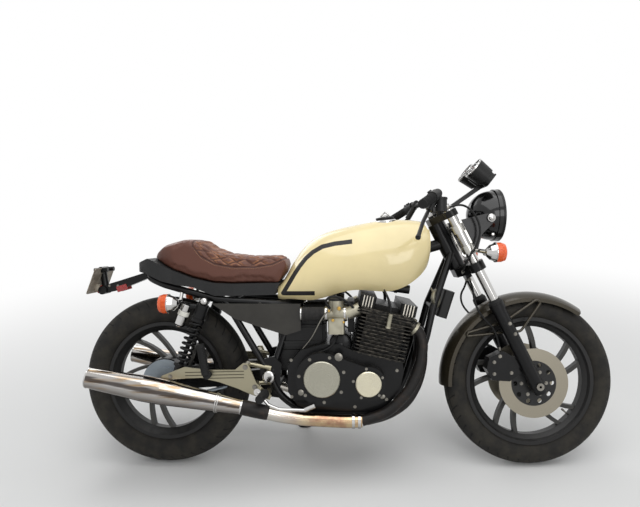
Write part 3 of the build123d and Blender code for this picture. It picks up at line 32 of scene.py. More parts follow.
bl_info = {
    "name": "Cafe racer motorcycle",
    "version": (1, 0, 0),
    "blender": (4, 5, 0),
    "location": "3D View > Sidebar > Cafe racer",
    "description": "Finishes, seat, lamps, gauges and fittings of a cafe racer motorcycle",
    "category": "Add Mesh",
}

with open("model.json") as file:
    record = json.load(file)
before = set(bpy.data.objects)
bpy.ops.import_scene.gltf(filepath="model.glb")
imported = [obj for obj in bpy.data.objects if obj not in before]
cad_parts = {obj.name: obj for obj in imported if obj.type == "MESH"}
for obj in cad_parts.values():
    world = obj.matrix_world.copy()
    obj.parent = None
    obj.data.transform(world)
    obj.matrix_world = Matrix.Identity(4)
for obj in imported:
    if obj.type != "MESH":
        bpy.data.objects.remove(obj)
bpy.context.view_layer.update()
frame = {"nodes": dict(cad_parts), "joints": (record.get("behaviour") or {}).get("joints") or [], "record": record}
JOINT = {joint["name"]: joint for joint in frame["joints"]}

# The upright machine, as the frame's joints place it
MM = 0.001
REAR_AXLE = Vector((0, 0, 337))
REST_STEER = math.radians(4)
axle_spot = Vector(JOINT["rear_wheel_turn"]["pos_m"])
left = Vector(JOINT["rear_wheel_turn"]["axis"])
forward = Vector((1, 0, 0))
LEANT = Matrix((forward, left, forward.cross(left))).transposed()
UPRIGHT = (
    Matrix.Translation(axle_spot) @ LEANT.to_4x4() @ Matrix.Scale(MM, 4) @ Matrix.Translation(-REAR_AXLE)
)
HEAD_FOOT = UPRIGHT.inverted() @ Vector(JOINT["steering_turn"]["pos_m"])
HEAD_WAY = (LEANT.inverted() @ Vector(JOINT["steering_turn"]["axis"])).normalized()
HEAD_FRONT = Vector((HEAD_WAY.z, 0, -HEAD_WAY.x))
STEERED = (
    UPRIGHT
    @ Matrix.Translation(HEAD_FOOT)
    @ Matrix.Rotation(REST_STEER, 4, HEAD_WAY)
    @ Matrix.Translation(-HEAD_FOOT)
)
PLACE = {
    "root": UPRIGHT, "rear_wheel": UPRIGHT, "side_stand": UPRIGHT, "steering": STEERED, "front_wheel": STEERED
}

# Ways, and sizes that the solid pieces have
AHEAD = Vector((1, 0, 0))
UP = Vector((0, 0, 1))
FRONT_AXLE = Vector((1445, 0, 330))
FORK_OFFSET = 45.0
FORK_HALF = 102.0
FORK_TOP = 754.5
SLIDER_TOP = 348.0
CASE_SIDE = 186.0
SUMP_SIDE = 140.0
CLUTCH = Vector((638, 0, 378))
CRANK = Vector((811, 0, 360))
BORES = (-138.0, -46.0, 46.0, 138.0)
CARB_Z = 615.0
BLOCK_LEAN = math.radians(13.5)
BLOCK_FOOT = Vector((846, 0, 455))
BLOCK_FRONT = Vector((math.cos(BLOCK_LEAN), 0, -math.sin(BLOCK_LEAN)))
BLOCK_UP = Vector((math.sin(BLOCK_LEAN), 0, math.cos(BLOCK_LEAN)))
PLATE_OUT = 176.0
DISC_SIDE = 71.0
HEADLIGHT = Vector((1338, 0, 984))
HEADLIGHT_RADIUS = 103.0
GAUGE_FACE = Vector((1229, 0, 1165))
GAUGE_TILT = math.radians(38)
GAUGE_HALF = 58.0
SILENCER_NOSE = Vector((345.8, 212.2, 281.6))
SILENCER_TAIL = Vector((-236, 219, 394))
BAR_BEND = Vector((1036, 236, 1040))
BAR_END = Vector((972, 352, 1000))
SHOCK_FOOT = Vector((72, 135, 372))
SHOCK_HEAD = Vector((190, 137, 668))
NUMBER_PLATE = Vector((-290, 0, 708))
PLATE_WAY = Vector((-0.93, 0, 0.36))


def head_point(u, y, w):
    """A point given forward of the steering head, to the left and along it."""
    return HEAD_FOOT + HEAD_FRONT * u + HEAD_WAY * w + Vector((0, y, 0))


def block_point(along, y, height):
    """A point on the cylinder block, given along it, to the left and up its bores."""
    return BLOCK_FOOT + BLOCK_FRONT * along + BLOCK_UP * height + Vector((0, y, 0))


def each_side():
    """The side's sign, left first, and what to multiply a place on the left by to have it on that side."""
    for side in (1, -1):
        yield side, Vector((1, side, 1))


def tint(red, green, blue):
    """A colour given as it shows on a screen, from 0 to 255, as the light that it gives back."""
    return tuple(
        part / 12.92 if part < 0.04045 else ((part + 0.055) / 1.055) ** 2.4
        for part in (red / 255, green / 255, blue / 255)
    )


# Node trees


class Nodes:
    """A node tree in the making, whose nodes get their values and links where they are made."""

    def give(self, socket, value):
        """Links a wire or another node's output to a socket, or sets the socket's own value."""
        value = value.socket if isinstance(value, Wire) else value
        if isinstance(value, bpy.types.NodeSocket):
            self.tree.links.new(value, socket)
        else:
            socket.default_value = value

    def node(self, kind, values=None, **settings):
        made = self.tree.nodes.new(kind)
        for key, value in settings.items():
            setattr(made, key, value)
        for key, value in (values or {}).items():
            self.give(made.inputs[key], value)
        return made

    def made(self, kind, values=None, **settings):
        """The first output of a new node."""
        return self.node(kind, values, **settings).outputs[0]


def maths(operation, swapped=False):
    """A method for wires that adds one Math node, with its two values swapped if asked."""

    def method(self, *others):
        values = dict(enumerate((*others, self) if swapped else (self, *others)))
        return Wire(self.finish, self.finish.made("ShaderNodeMath", values, operation=operation))

    return method


class Wire:
    """One value in a material. Sums, products and the like of wires add Math nodes."""

    def __init__(self, finish, socket):
        self.finish = finish
        self.socket = socket

    __add__, __radd__ = maths("ADD"), maths("ADD", swapped=True)
    __sub__, __rsub__ = maths("SUBTRACT"), maths("SUBTRACT", swapped=True)
    __mul__, __rmul__ = maths("MULTIPLY"), maths("MULTIPLY", swapped=True)
    __truediv__, __pow__, __abs__ = maths("DIVIDE"), maths("POWER"), maths("ABSOLUTE")
    least, most = maths("MINIMUM"), maths("MAXIMUM")
    over, under = maths("GREATER_THAN"), maths("LESS_THAN")
    sine, angle, root, part = maths("SINE"), maths("ARCTAN2"), maths("SQRT"), maths("FRACT")

    def rise(self, low, high):
        """0 below low, 1 above high, and smooth between them."""
        values = {"Value": self, "From Min": low, "From Max": high}
        socket = self.finish.made("ShaderNodeMapRange", values, interpolation_type="SMOOTHSTEP")
        return Wire(self.finish, socket)


class Finish(Nodes):
    """A material in the making, with the upright machine's own coordinates in millimetres."""

    def __init__(self, name, body):
        self.material = bpy.data.materials.new(name)
        self.material.use_nodes = True
        self.tree = self.material.node_tree
        self.tree.nodes.clear()
        self.shader = self.node("ShaderNodeBsdfPrincipled")
        self.output = self.node("ShaderNodeOutputMaterial", {"Surface": self.shader.outputs[0]})
        spot = self.node("ShaderNodeTexCoord").outputs["Object"]
        back = PLACE[body].inverted()
        self.x, self.y, self.z = (self.along(spot, back[row].xyz) + back[row].w for row in range(3))
        self.point = self.joined(self.x, self.y, self.z)
        facing = self.node("ShaderNodeNewGeometry").outputs["Normal"]
        turned_back = back.to_3x3().normalized()
        self.upward = self.along(facing, turned_back[2])
        self.sideways = self.along(facing, turned_back[1])

    def along(self, vector, way):
        """How far a vector reaches along a way."""
        made = self.node("ShaderNodeVectorMath", {0: vector, 1: tuple(way)}, operation="DOT_PRODUCT")
        return Wire(self, made.outputs["Value"])

    def joined(self, x, y, z):
        return self.made("ShaderNodeCombineXYZ", {0: x, 1: y, 2: z})

    def noise(self, size, detail=3.0, point=None):
        """Cloudy values about 0.5, whose blots are this many millimetres across."""
        values = {"Vector": point or self.point, "Scale": 1 / size, "Detail": detail, "Roughness": 0.55}
        return Wire(self, self.node("ShaderNodeTexNoise", values).outputs["Fac"])

    def cells(self, size):
        """Distance to the nearest edge between scattered cells, as grain in leather."""
        values = {"Vector": self.point, "Scale": 1 / size}
        made = self.node("ShaderNodeTexVoronoi", values, feature="DISTANCE_TO_EDGE")
        return Wire(self, made.outputs["Distance"])

    def stored(self, name):
        """A value that the mesh holds at each point."""
        return Wire(self, self.node("ShaderNodeAttribute", attribute_name=name).outputs["Fac"])

    def mixed(self, share, first, second):
        """The first colour where share is 0, the second where it is 1."""
        first, second = ((*value, 1) if isinstance(value, tuple) else value for value in (first, second))
        values = {"Factor": share, 6: first, 7: second}
        return self.node("ShaderNodeMix", values, data_type="RGBA").outputs[2]

    def around(self, centre):
        """Distance from a line across the machine, and the turn about it."""
        x, z = self.x - centre.x, self.z - centre.z
        return (x * x + z * z).root(), z.angle(x)

    def line_distance(self, start, end):
        """Distance, seen from the side, to a straight line between two places given as x and z."""
        dx, dz = end[0] - start[0], end[1] - start[1]
        x, z = self.x - start[0], self.z - start[1]
        share = ((x * dx + z * dz) / (dx * dx + dz * dz)).most(0.0).least(1.0)
        return ((x - share * dx) ** 2 + (z - share * dz) ** 2).root()

    def set(self, **values):
        """Sets the shader's sockets, each named in words joined by underscores."""
        for key, value in values.items():
            name = key.replace("_", " ").title().replace("Ior", "IOR")
            self.give(self.shader.inputs[name], (*value, 1) if isinstance(value, tuple) else value)

    def relief(self, height):
        """Bumps whose height is given in millimetres."""
        self.set(normal=self.made("ShaderNodeBump", {"Strength": 1.0, "Distance": MM, "Height": height}))


# Finishes, each under its name: first those that differ in a few values, then those with a look of their own

BLACK = tint(13, 13, 14)
DARK_GREY = tint(22, 22, 22)
SILVER = tint(196, 195, 193)
DUST = tint(150, 142, 128)
COATS = {
    "black_paint": dict(colour=BLACK, rough=0.3, coat=0.08, grain=0.04, dust=0.08, shine=0.2),
    "gloss_black": dict(colour=tint(9, 9, 10), rough=0.14, coat=0.3, grain=0.02, dust=0.05, shine=0.3),
    "engine_black": dict(colour=BLACK, rough=0.3, coat=0.1, grain=0.22, grain_size=2.2, dust=0.06, shine=0.2),
    "cast_alloy": dict(
        colour=tint(150, 146, 130), rough=0.4, metal=0.85, grain=0.35, grain_size=2.4, dust=0.2, vary=0.35
    ),
    "drum_grey": dict(colour=tint(148, 158, 166), rough=0.38, metal=0.35, grain=0.2, dust=0.15, vary=0.12),
    "brass": dict(colour=tint(196, 160, 86), rough=0.26, metal=1.0, grain=0.05, dust=0.05),
    "steel": dict(colour=tint(128, 125, 118), rough=0.3, metal=1.0, grain=0.05, dust=0.05),
    "side_cover": dict(
        colour=tint(48, 46, 42), rough=0.34, metal=0.2, coat=0.2, grain=0.05, dust=0.15, shine=0.3
    ),
    "black_plastic": dict(colour=DARK_GREY, rough=0.42, grain=0.12, grain_size=1.6, dust=0.1, shine=0.3),
    "rubber": dict(colour=DARK_GREY, rough=0.66, grain=0.12, grain_size=1.5, dust=0.08, shine=0.3),
    "dial_white": dict(colour=tint(226, 224, 214), rough=0.4, grain=0.0),
    "needle_red": dict(colour=tint(214, 70, 28), rough=0.35, grain=0.0),
    "thread": dict(colour=tint(156, 112, 74), rough=0.7, grain=0.1),
}
LOOKS = {}


def look(paint):
    """Files a function that paints a finish, under the function's name."""
    LOOKS[paint.__name__] = paint
    return paint


def coated(
    f, colour, rough, metal=0.0, coat=0.0, grain=0.15, grain_size=3.0, dust=0.12, vary=0.18, shine=0.5
):
    """Paint, plating or bare metal with cloudy tone, a little dust on top and a fine grain."""
    broad = f.noise(90.0)
    fine = f.noise(grain_size, 4.0)
    shade, light = (tuple(min(1.0, part * (1 + way * vary)) for part in colour) for way in (-1, 1))
    toned = f.mixed(broad.rise(0.3, 0.7), shade, light)
    dusty = f.upward.rise(0.5, 1.0) * f.noise(25.0).rise(0.4, 0.7) * dust
    f.set(base_color=f.mixed(dusty, toned, DUST))
    f.set(roughness=(broad - 0.5) * 0.14 + fine * 0.05 + dusty * 0.4 + rough)
    f.set(metallic=metal, coat_weight=coat, specular_ior_level=shine)
    f.relief(fine * grain)


@look
def cylinder_black(f):
    """Satin engine paint; the fins' rims that face either side are lighter and half metallic, partly bare alloy
    where the paint has gone and partly a painted highlight where they catch the light.
    """
    wear_and_highlight = abs(f.sideways).rise(0.6, 0.95) * f.noise(14.0).rise(0.35, 0.75)
    base = f.mixed(f.noise(60.0).rise(0.3, 0.7), tint(12, 12, 12), tint(24, 23, 22))
    # Rims that face either side are lightened: bare alloy showing through, and a painted highlight
    f.set(base_color=f.mixed(wear_and_highlight * 0.5, base, tint(120, 114, 104)))
    f.set(metallic=wear_and_highlight * 0.5, roughness=f.noise(8.0) * 0.2 + 0.36, specular_ior_level=0.18)
    f.relief(f.noise(2.2, 4.0) * 0.25)


@look
def cam_cover_black(f):
    """Black covers whose ribs are polished bright at their ends."""
    bright = abs(f.y).over(152.5) * abs(f.sideways).over(0.5)
    base = f.mixed(f.noise(50.0), tint(14, 14, 14), tint(26, 25, 24))
    f.set(base_color=f.mixed(bright, base, tint(205, 200, 188)))
    f.set(metallic=bright, roughness=0.4 - bright * 0.2, specular_ior_level=0.18)
    f.relief(f.noise(2.2, 4.0) * 0.2)


@look
def chrome(f):
    """Plating with faint smears and pits, and painted shade underneath, darker and browner."""
    smear = f.noise(35.0, 4.0)
    speck = f.noise(1.6, 2.0).rise(0.68, 0.8)
    # Painted shade: faces that look down are darkened and browned in smeared patches
    under = (f.upward * -1.0).rise(-0.2, 0.7) * smear.rise(0.25, 0.75)
    plated = f.mixed(under * 0.7, SILVER, tint(96, 84, 70))
    f.set(base_color=f.mixed(speck * 0.35, plated, tint(120, 106, 88)))
    f.set(metallic=1.0, roughness=smear.rise(0.4, 0.75) * 0.1 + 0.06 + speck * 0.2 + under * 0.12)
    f.relief(smear * 0.03)


@look
def road_chrome(f):
    """Plating on the silencers, with a painted reflection of a dark line of ground across its sides, painted warm
    reflections in streaks and painted shade underneath.
    """
    streak = f.noise(16.0, 3.0, f.joined(f.x / 14.0, f.y, f.z))
    height = f.upward + (streak - 0.5) * 0.5
    # Painted reflection: a dark band where the faces look about level, as a mirrored line of ground
    ground = height.rise(-0.08, 0.1) * (1 - height.rise(0.28, 0.46))
    # Painted shade: faces that look down are darker
    under = (height * -1.0).rise(0.1, 0.75)
    # Painted reflection: warm streaks along the pipe
    warm = f.mixed(streak.rise(0.45, 0.68), tint(176, 173, 170), tint(158, 136, 108))
    toned = f.mixed(ground * 0.85, warm, tint(52, 44, 41))
    f.set(base_color=f.mixed(under * 0.7, toned, tint(84, 74, 66)))
    f.set(metallic=1.0, roughness=streak * 0.1 + 0.05 + under * 0.1)
    f.relief(streak * 0.04)


@look
def satin_silver(f):
    """Machined alloy, turned about the cover that it is on, so its marks are rings."""
    near_clutch = (f.x - CLUTCH.x).under((CRANK.x - CLUTCH.x) / 2)
    clutch_far, crank_far = f.around(CLUTCH)[0], f.around(CRANK)[0]
    reach = near_clutch * clutch_far + (1 - near_clutch) * crank_far
    rings = f.noise(1.1, 2.0, f.joined(reach, 0.0, 0.0))
    cloud = f.noise(70.0)
    # Painted shade: the clutch cover is given a darker grey than the pickup cover
    toned = f.mixed(near_clutch, tint(212, 206, 182), tint(158, 156, 142))
    f.set(base_color=f.mixed(cloud.rise(0.3, 0.7) * 0.25, toned, tint(176, 172, 160)))
    f.set(metallic=0.85, roughness=rings * 0.1 + cloud * 0.08 + 0.18)
    f.relief(rings * 0.05)


@look
def plate_alloy(f):
    """Brushed plate with three grooves milled along it, darkened with painted shade."""
    brushed = f.noise(1.2, 3.0, f.joined(f.x / 40.0, f.y, f.z))
    slope = f.z - (f.x - 60.0) * 0.02
    grooves = abs(((slope - 371.0) / 12.0).part() - 0.5).under(0.14)
    inside = f.x.over(120.0) * f.x.under(345.0) * slope.over(371.0) * slope.under(407.0)
    shaded_cut = grooves * inside * abs(f.sideways).over(0.7)
    # Painted shade: the grooves are darkened on the plate's flat face
    f.set(base_color=f.mixed(shaded_cut * 0.75, tint(156, 150, 128), tint(46, 43, 38)))
    f.set(metallic=0.9, roughness=brushed * 0.2 + 0.24)
    f.relief(brushed * 0.06 - shaded_cut * 1.5)


@look
def disc_steel(f):
    """A brake disc: brushed bright where the pads run, black on the carrier inside."""
    reach, turn = f.around(FRONT_AXLE)
    swept = reach.over(87.0)
    rings = f.noise(0.8, 2.0, f.joined(reach, 0.0, 0.0))
    streak = f.noise(0.09, 2.0, f.joined(turn, 0.0, 0.0))
    bright = f.mixed(rings, tint(118, 112, 98), tint(168, 162, 148))
    f.set(base_color=f.mixed(swept, DARK_GREY, bright))
    f.set(metallic=swept * 0.8 + 0.2, roughness=0.48 - swept * 0.2 + streak * 0.14)
    f.relief(rings * 0.06)


@look
def header_black(f):
    """Heat-proof black with a brown bloom where it runs hot."""
    bloom = f.noise(28.0, 5.0).rise(0.45, 0.8)
    f.set(base_color=f.mixed(bloom * 0.5, tint(24, 22, 21), tint(62, 48, 38)))
    f.set(roughness=f.noise(6.0) * 0.2 + 0.38, metallic=0.2, specular_ior_level=0.3)
    f.relief(f.noise(1.8, 4.0) * 0.18)


@look
def tinted_chrome(f):
    """Chrome pipe, straw and bronze where the heat has coloured it."""
    hot = f.x.rise(430.0, 640.0)
    warm = f.mixed(f.noise(45.0, 4.0).rise(0.35, 0.65), tint(150, 104, 72), tint(196, 170, 126))
    f.set(base_color=f.mixed(hot * 0.85, tint(196, 192, 184), warm))
    f.set(metallic=1.0, roughness=f.noise(30.0, 4.0) * 0.16 + 0.08)
    f.relief(f.noise(20.0) * 0.05)


STRIPE_ROUTE = (
    (640, 692), (488, 692), (516, 736), (534, 766), (554, 796), (578, 826), (606, 850), (642, 870),
    (690, 881), (762, 889),
)
STRIPE_FOOT = (612.0, 710.0)
STRIPE_END = 758.0


@look
def tank_cream(f, paint):
    """Cream gloss paint with a black stripe that runs up the tank's side."""
    away, *others = (f.line_distance(start, end) for start, end in zip(STRIPE_ROUTE, STRIPE_ROUTE[1:]))
    for far in others:
        away = away.least(far)
    half = paint.stripe_width / 2
    beyond = f.x.over(STRIPE_FOOT[0]) * f.z.under(STRIPE_FOOT[1])
    stripe = (1 - away.rise(half - 0.4, half + 0.4)) * abs(f.y).over(30.0) * (1 - beyond)
    stripe = stripe * f.x.under(STRIPE_END)
    cloud = f.noise(140.0)
    cream = tuple(paint.tank_colour)
    body = f.mixed(cloud.rise(0.3, 0.7), tuple(part * 0.94 for part in cream), cream)
    f.set(base_color=f.mixed(stripe, body, tuple(paint.stripe_colour)))
    f.set(roughness=cloud * 0.06 + 0.22 + stripe * 0.2, coat_weight=0.7 - stripe * 0.65, coat_roughness=0.05)
    f.set(specular_ior_level=0.3)
    f.relief(f.noise(5.0, 2.0) * 0.025 + stripe * 0.12)


@look
def seat_leather(f, seat):
    """Brown leather with a fine grain, painted shade in its stitched channels, high spots that look up lightened
    by wear and a painted highlight, and painted highlights along the ridges beside the channels.
    """
    shaded_channel, highlight_crest = f.stored("channel"), f.stored("highlight_crest")
    grain = f.cells(2.6)
    cloud = f.noise(55.0, 4.0)
    # Faces that look up are lighter: wear, and a painted highlight
    wear_and_highlight = f.upward.rise(0.3, 1.0) * cloud.rise(0.35, 0.75) * (1 - shaded_channel)
    brown = tuple(seat.leather_colour)
    dark, light = (tuple(min(1, part * share) for part in brown) for share in (0.3, 1.8))
    toned = f.mixed(wear_and_highlight * 0.5, brown, light)
    # Painted highlight along the ridge beside each channel
    highlighted = f.mixed(highlight_crest * cloud.rise(0.3, 0.65) * 0.6, toned, tint(186, 128, 84))
    # Painted shade: the stitched channels are darkened
    f.set(base_color=f.mixed(shaded_channel * 0.85, highlighted, dark))
    f.set(roughness=0.5 - wear_and_highlight * 0.14 + shaded_channel * 0.2 - grain * 0.1, specular_ior_level=0.4)
    f.relief(grain.least(0.3) * 0.7 + f.noise(9.0) * 0.25)


@look
def seat_black(f):
    """Black grained cover stretched over the seat's base."""
    grain = f.cells(2.2)
    f.set(base_color=f.mixed(f.noise(60.0), tint(26, 27, 28), tint(40, 40, 40)))
    f.set(roughness=0.6 - grain * 0.15, specular_ior_level=0.3)
    f.relief(grain.least(0.3) * 0.8 + f.noise(14.0) * 0.3)


@look
def fender_dark(f):
    """Dark metallic grey with fine flakes."""
    flake = f.noise(0.7, 1.0).rise(0.55, 0.75)
    f.set(base_color=f.mixed(flake * 0.35, tint(50, 45, 35), tint(120, 108, 82)))
    f.set(metallic=0.5, roughness=f.noise(70.0) * 0.1 + 0.26, coat_weight=0.3, specular_ior_level=0.35)
    f.relief(f.noise(30.0) * 0.05)


@look
def cast_black(f, centre, hub_radius, rim_inner, face):
    """A cast wheel in satin black, with its spokes' outer faces machined a little brighter and a painted highlight
    on faces that look up.
    """
    reach, _ = f.around(centre)
    flat = abs(f.sideways).over(0.92)
    spoke = abs(abs(f.y) - 13.0).under(0.7) * reach.over(hub_radius) * reach.under(rim_inner) * flat
    # Painted highlight: faces that look up are lightened in patches
    lit = f.upward.rise(0.2, 0.9) * f.noise(30.0).rise(0.3, 0.6) * 0.3
    bright = (spoke * face + lit * face).least(1.0)
    base = f.mixed(f.noise(50.0), tint(16, 16, 17), tint(30, 29, 28))
    f.set(base_color=f.mixed(bright, base, tint(170, 168, 160)))
    f.set(metallic=bright, roughness=0.36 - bright * 0.14 + f.noise(7.0) * 0.08, specular_ior_level=0.35)
    f.relief(f.noise(2.4, 4.0) * 0.2)


TREAD_BLOCKS = 46


@look
def tyre(f, centre, radius, width):
    """Worn rubber with a grooved tread, painted shade in the tread's grooves, fine ribs on the side walls and a
    grey bloom.
    """
    reach, turn = f.around(centre)
    tread = reach.rise(radius - width * 0.3, radius - width * 0.26)
    lateral = abs(f.y)
    side_groove = abs(lateral - width * 0.27).under(1.6)
    slant = (turn * (TREAD_BLOCKS / math.tau) + lateral * 0.021).part()
    sipes = slant.under(0.13) * lateral.over(width * 0.1)
    shaded_groove = (lateral.under(2.6) + side_groove + sipes).least(1.0) * tread
    ribs = (reach * 1.6).sine() * reach.over(radius - width * 0.72) * reach.under(radius - width * 0.44)
    bead = abs(reach - (radius - width * 0.78)).under(1.4) * (1 - tread)
    bloom = f.noise(60.0, 5.0)
    rubber = f.mixed(bloom.rise(0.3, 0.75), tint(30, 29, 28), tint(54, 51, 45))
    # Painted shade: the tread's grooves are darkened nearly to black
    f.set(base_color=f.mixed(shaded_groove * 0.8, rubber, tint(10, 10, 10)))
    f.set(roughness=bloom * 0.15 + 0.66, specular_ior_level=0.25)
    f.relief(ribs * 0.25 - shaded_groove * 3.2 + bead * 1.2 + f.noise(1.5, 3.0) * 0.12)


@look
def lamp_glass(f):
    """Clear glass with the upright flutes of a headlamp lens."""
    f.set(base_color=tint(244, 247, 248), roughness=0.03, transmission_weight=1.0, ior=1.45)
    f.relief(abs((f.y * 0.42).sine()) * 1.4 * f.x.over(HEADLIGHT.x - 20))


def lens_rings(f):
    """Fine rings moulded into a lens."""
    return abs((f.z * 0.9).sine()) * 0.5 + abs((f.y * 0.9).sine()) * 0.5


@look
def amber(f):
    """Moulded amber lens with fine rings inside, and a faint painted glow."""
    rings = lens_rings(f)
    f.set(base_color=f.mixed(rings, tint(214, 66, 6), tint(238, 100, 18)))
    # The faint emission is a painted glow; the lamp is not lit
    f.set(roughness=0.16, coat_weight=0.6, emission_color=tint(220, 74, 8), emission_strength=0.05)
    f.relief(rings * 0.6)


@look
def turn_lamp(f, lens_x):
    """A turn lamp: chrome bowl behind, and the deep amber lens that stands in its mouth."""
    glass = abs(f.x - lens_x).under(19.0)
    rings = lens_rings(f)
    f.set(base_color=f.mixed(glass, SILVER, f.mixed(rings, tint(208, 62, 6), tint(236, 98, 18))))
    f.set(metallic=1 - glass, roughness=glass * 0.12 + 0.07)
    f.relief(rings * glass * 0.6)


@look
def clamped_black(f):
    """Black paint, with the bands that go round the fork tubes left as polished metal."""
    foot = HEAD_FOOT + HEAD_FRONT * FORK_OFFSET
    ahead = f.along(f.point, HEAD_FRONT) - foot.dot(HEAD_FRONT)
    beside = abs(f.y) - FORK_HALF
    band = 1 - (ahead * ahead + beside * beside).root().rise(24.5, 25.5)
    smear = f.noise(30.0, 3.0)
    f.set(base_color=f.mixed(band, tint(15, 15, 16), tint(188, 186, 180)))
    f.set(metallic=band, roughness=smear * 0.1 + 0.2, specular_ior_level=0.3)
    f.relief(smear * 0.04)


@look
def red_lens(f):
    """Red plastic with small square facets."""
    facets = abs((f.y * 1.1).sine()) * abs((f.z * 1.1).sine())
    f.set(base_color=f.mixed(facets, tint(120, 8, 8), tint(206, 24, 18)), roughness=0.14, coat_weight=0.7)
    f.relief(facets * 0.8)


@look
def plate_blank(f):
    """A bare number plate, stained by the weather."""
    stain = f.noise(22.0, 5.0)
    f.set(base_color=f.mixed(stain.rise(0.35, 0.7), tint(132, 122, 108), tint(168, 160, 146)))
    f.set(roughness=stain * 0.2 + 0.4, metallic=0.2)
    f.relief(f.noise(3.0) * 0.1)


@look
def filter_gauze(f):
    """Dark gauze."""
    weave = abs((f.x * 1.4).sine()) * abs((f.z * 1.4).sine())
    f.set(base_color=f.mixed(weave, tint(20, 20, 20), tint(52, 50, 48)), roughness=0.8)
    f.relief(weave * 0.8)


@look
def reflector(f):
    """The mirror of a lamp's bowl."""
    f.set(base_color=f.mixed(f.noise(30.0) * 0.2, tint(235, 235, 232), tint(180, 178, 170)))
    f.set(metallic=1.0, roughness=0.08)


@look
def dial_face(f):
    """A gauge's face, with white marks round its edge."""
    turn, reach = f.stored("dial_turn"), f.stored("dial_reach")
    small = abs((turn * 50.0).part() - 0.5).over(0.42) * reach.over(29.5)
    large = abs((turn * 25.0).part() - 0.5).over(0.44) * reach.over(27.0)
    marks = (small + large).least(1.0) * (turn.over(0.12) * turn.under(0.88)) * reach.under(33.0)
    f.set(base_color=f.mixed(marks, tint(20, 20, 22), tint(225, 224, 216)), roughness=0.45)


@look
def clear_glass(f):
    """Thin clear glass."""
    f.set(base_color=tint(248, 250, 250), roughness=0.02, transmission_weight=1.0, ior=1.45)
    f.set(alpha=f.noise(40.0) * 0.05 + 0.25)


made_finishes = {}


def finish_of(kind, body, *details):
    """The finish on that body, made once."""
    if (kind, body) not in made_finishes:
        f = Finish(f"{kind}_{body}", body)
        if kind in COATS:
            coated(f, **COATS[kind])
        else:
            LOOKS[kind](f, *details)
        made_finishes[kind, body] = f.material
    return made_finishes[kind, body]


# The finish of each solid piece, and what some finishes need to know about it
NODE_FINISHES = {
    "engine_black": "crankcase engine_casings calipers", "satin_silver": "round_covers",
    "cylinder_black": "cylinders cylinder_head", "cam_cover_black": "cam_covers",
    "cast_alloy": "carburettors", "filter_gauze": "air_filters", "header_black": "header_pipes",
    "tinted_chrome": "collector_pipes", "road_chrome": "silencers", "tank_cream": "fuel_tank",
    "seat_black": "seat_base", "side_cover": "side_covers", "drum_grey": "brake_panel",
    "black_paint": "frame swingarm shocks shock_springs plate_arm side_stand_bracket side_stand_leg"
    " lower_yoke_and_stem top_yoke fork_sliders handlebar",
    "chrome": "pivot_shaft brake_pedal gear_lever fork_tubes", "steel": "rear_axle front_axle",
    "plate_alloy": "footrest_plates", "rubber": "pegs grips",
    "black_plastic": "regulator gauges hand_controls", "plate_blank": "number_plate",
    "turn_lamp": "rear_indicators front_indicators", "amber": "rear_indicator_lenses front_indicator_lenses",
    "fender_dark": "front_fender fender_stays", "gloss_black": "headlight_shell",
    "lamp_glass": "headlight_lens", "clamped_black": "headlight_ears", "disc_steel": "front_discs",
    "cast_black": "front_wheel_casting rear_wheel_casting", "tyre": "front_tyre rear_tyre",
}
DETAILS = {
    "front_indicators": (1288.0,), "rear_indicators": (44.0,),
    "front_wheel_casting": (FRONT_AXLE, 42.0, 214.0, 0.08),
    "rear_wheel_casting": (REAR_AXLE, 94.0, 200.0, 0.12),
    "front_tyre": (FRONT_AXLE, 330.0, 95.0), "rear_tyre": (REAR_AXLE, 337.0, 122.0),
}
# The slot name of a finish that shares it with another; any other finish would go by its own name. placed() works
# out this name but gives it to no piece.
SLOTS = {
    "reflector": "chrome", "red_lens": "amber", "needle_red": "amber", "clear_glass": "lamp_glass",
    "dial_face": "black_plastic", "brass": "cast_alloy", "thread": "seat_leather", "filter_gauze": "filter",
}


# Pieces


def linked(name, data):
    """A new object in the scene."""
    made = bpy.data.objects.new(name, data)
    bpy.context.scene.collection.objects.link(made)
    return made


def evaluated(helper):
    """The mesh data that a helper object shows, while the helper itself goes."""
    graph = bpy.context.evaluated_depsgraph_get()
    data = bpy.data.meshes.new_from_object(helper.evaluated_get(graph))
    bpy.data.objects.remove(helper)
    return data


def meshed(name, mesh):
    """Mesh data of what was built."""
    data = bpy.data.meshes.new(name)
    mesh.to_mesh(data)
    mesh.free()
    return data


def placed(name, data, body, kind, slot=None, sharp=35.0, dressed=False):
    """A piece from mesh data that is already in metres on the leant machine, and may have its finish."""
    data.shade_smooth()
    data.set_sharp_from_angle(angle=math.radians(sharp))
    if not dressed:
        data.materials.clear()
        data.materials.append(finish_of(kind, body))
    piece = linked(name, data)
    slot = slot or SLOTS.get(kind, kind)
    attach(piece, body)
    return piece


def finished(name, mesh, body, kind, slot=None):
    """Turns what was built in the upright machine's millimetres into a piece that rides on a body."""
    bmesh.ops.recalc_face_normals(mesh, faces=mesh.faces)
    data = meshed(name, mesh)
    data.transform(PLACE[body])
    return placed(name, data, body, kind, slot)


def lathe(mesh, profile, centre, way, closed=False, steps=40):
    """Adds a round shape turned about a line: its profile is distance along the line and radius."""
    way = Vector(way).normalized()
    across = way.orthogonal().normalized()
    beside = way.cross(across)
    turns = [math.tau * step / steps for step in range(steps)]
    rings = []
    for along, radius in profile:
        middle = Vector(centre) + way * along
        spots = [middle + (across * math.cos(turn) + beside * math.sin(turn)) * radius for turn in turns]
        rings.append([mesh.verts.new(spot) for spot in (spots if radius > 0 else [middle])])
    for near, far in zip(rings, rings[1:] + rings[:1] if closed else rings[1:]):
        for step, after in zip(range(steps), [*range(1, steps), 0]):
            quad = ((near, step), (far, step), (far, after), (near, after))
            corners = dict.fromkeys(row[place % len(row)] for row, place in quad)
            if len(corners) > 2:
                mesh.faces.new(corners)


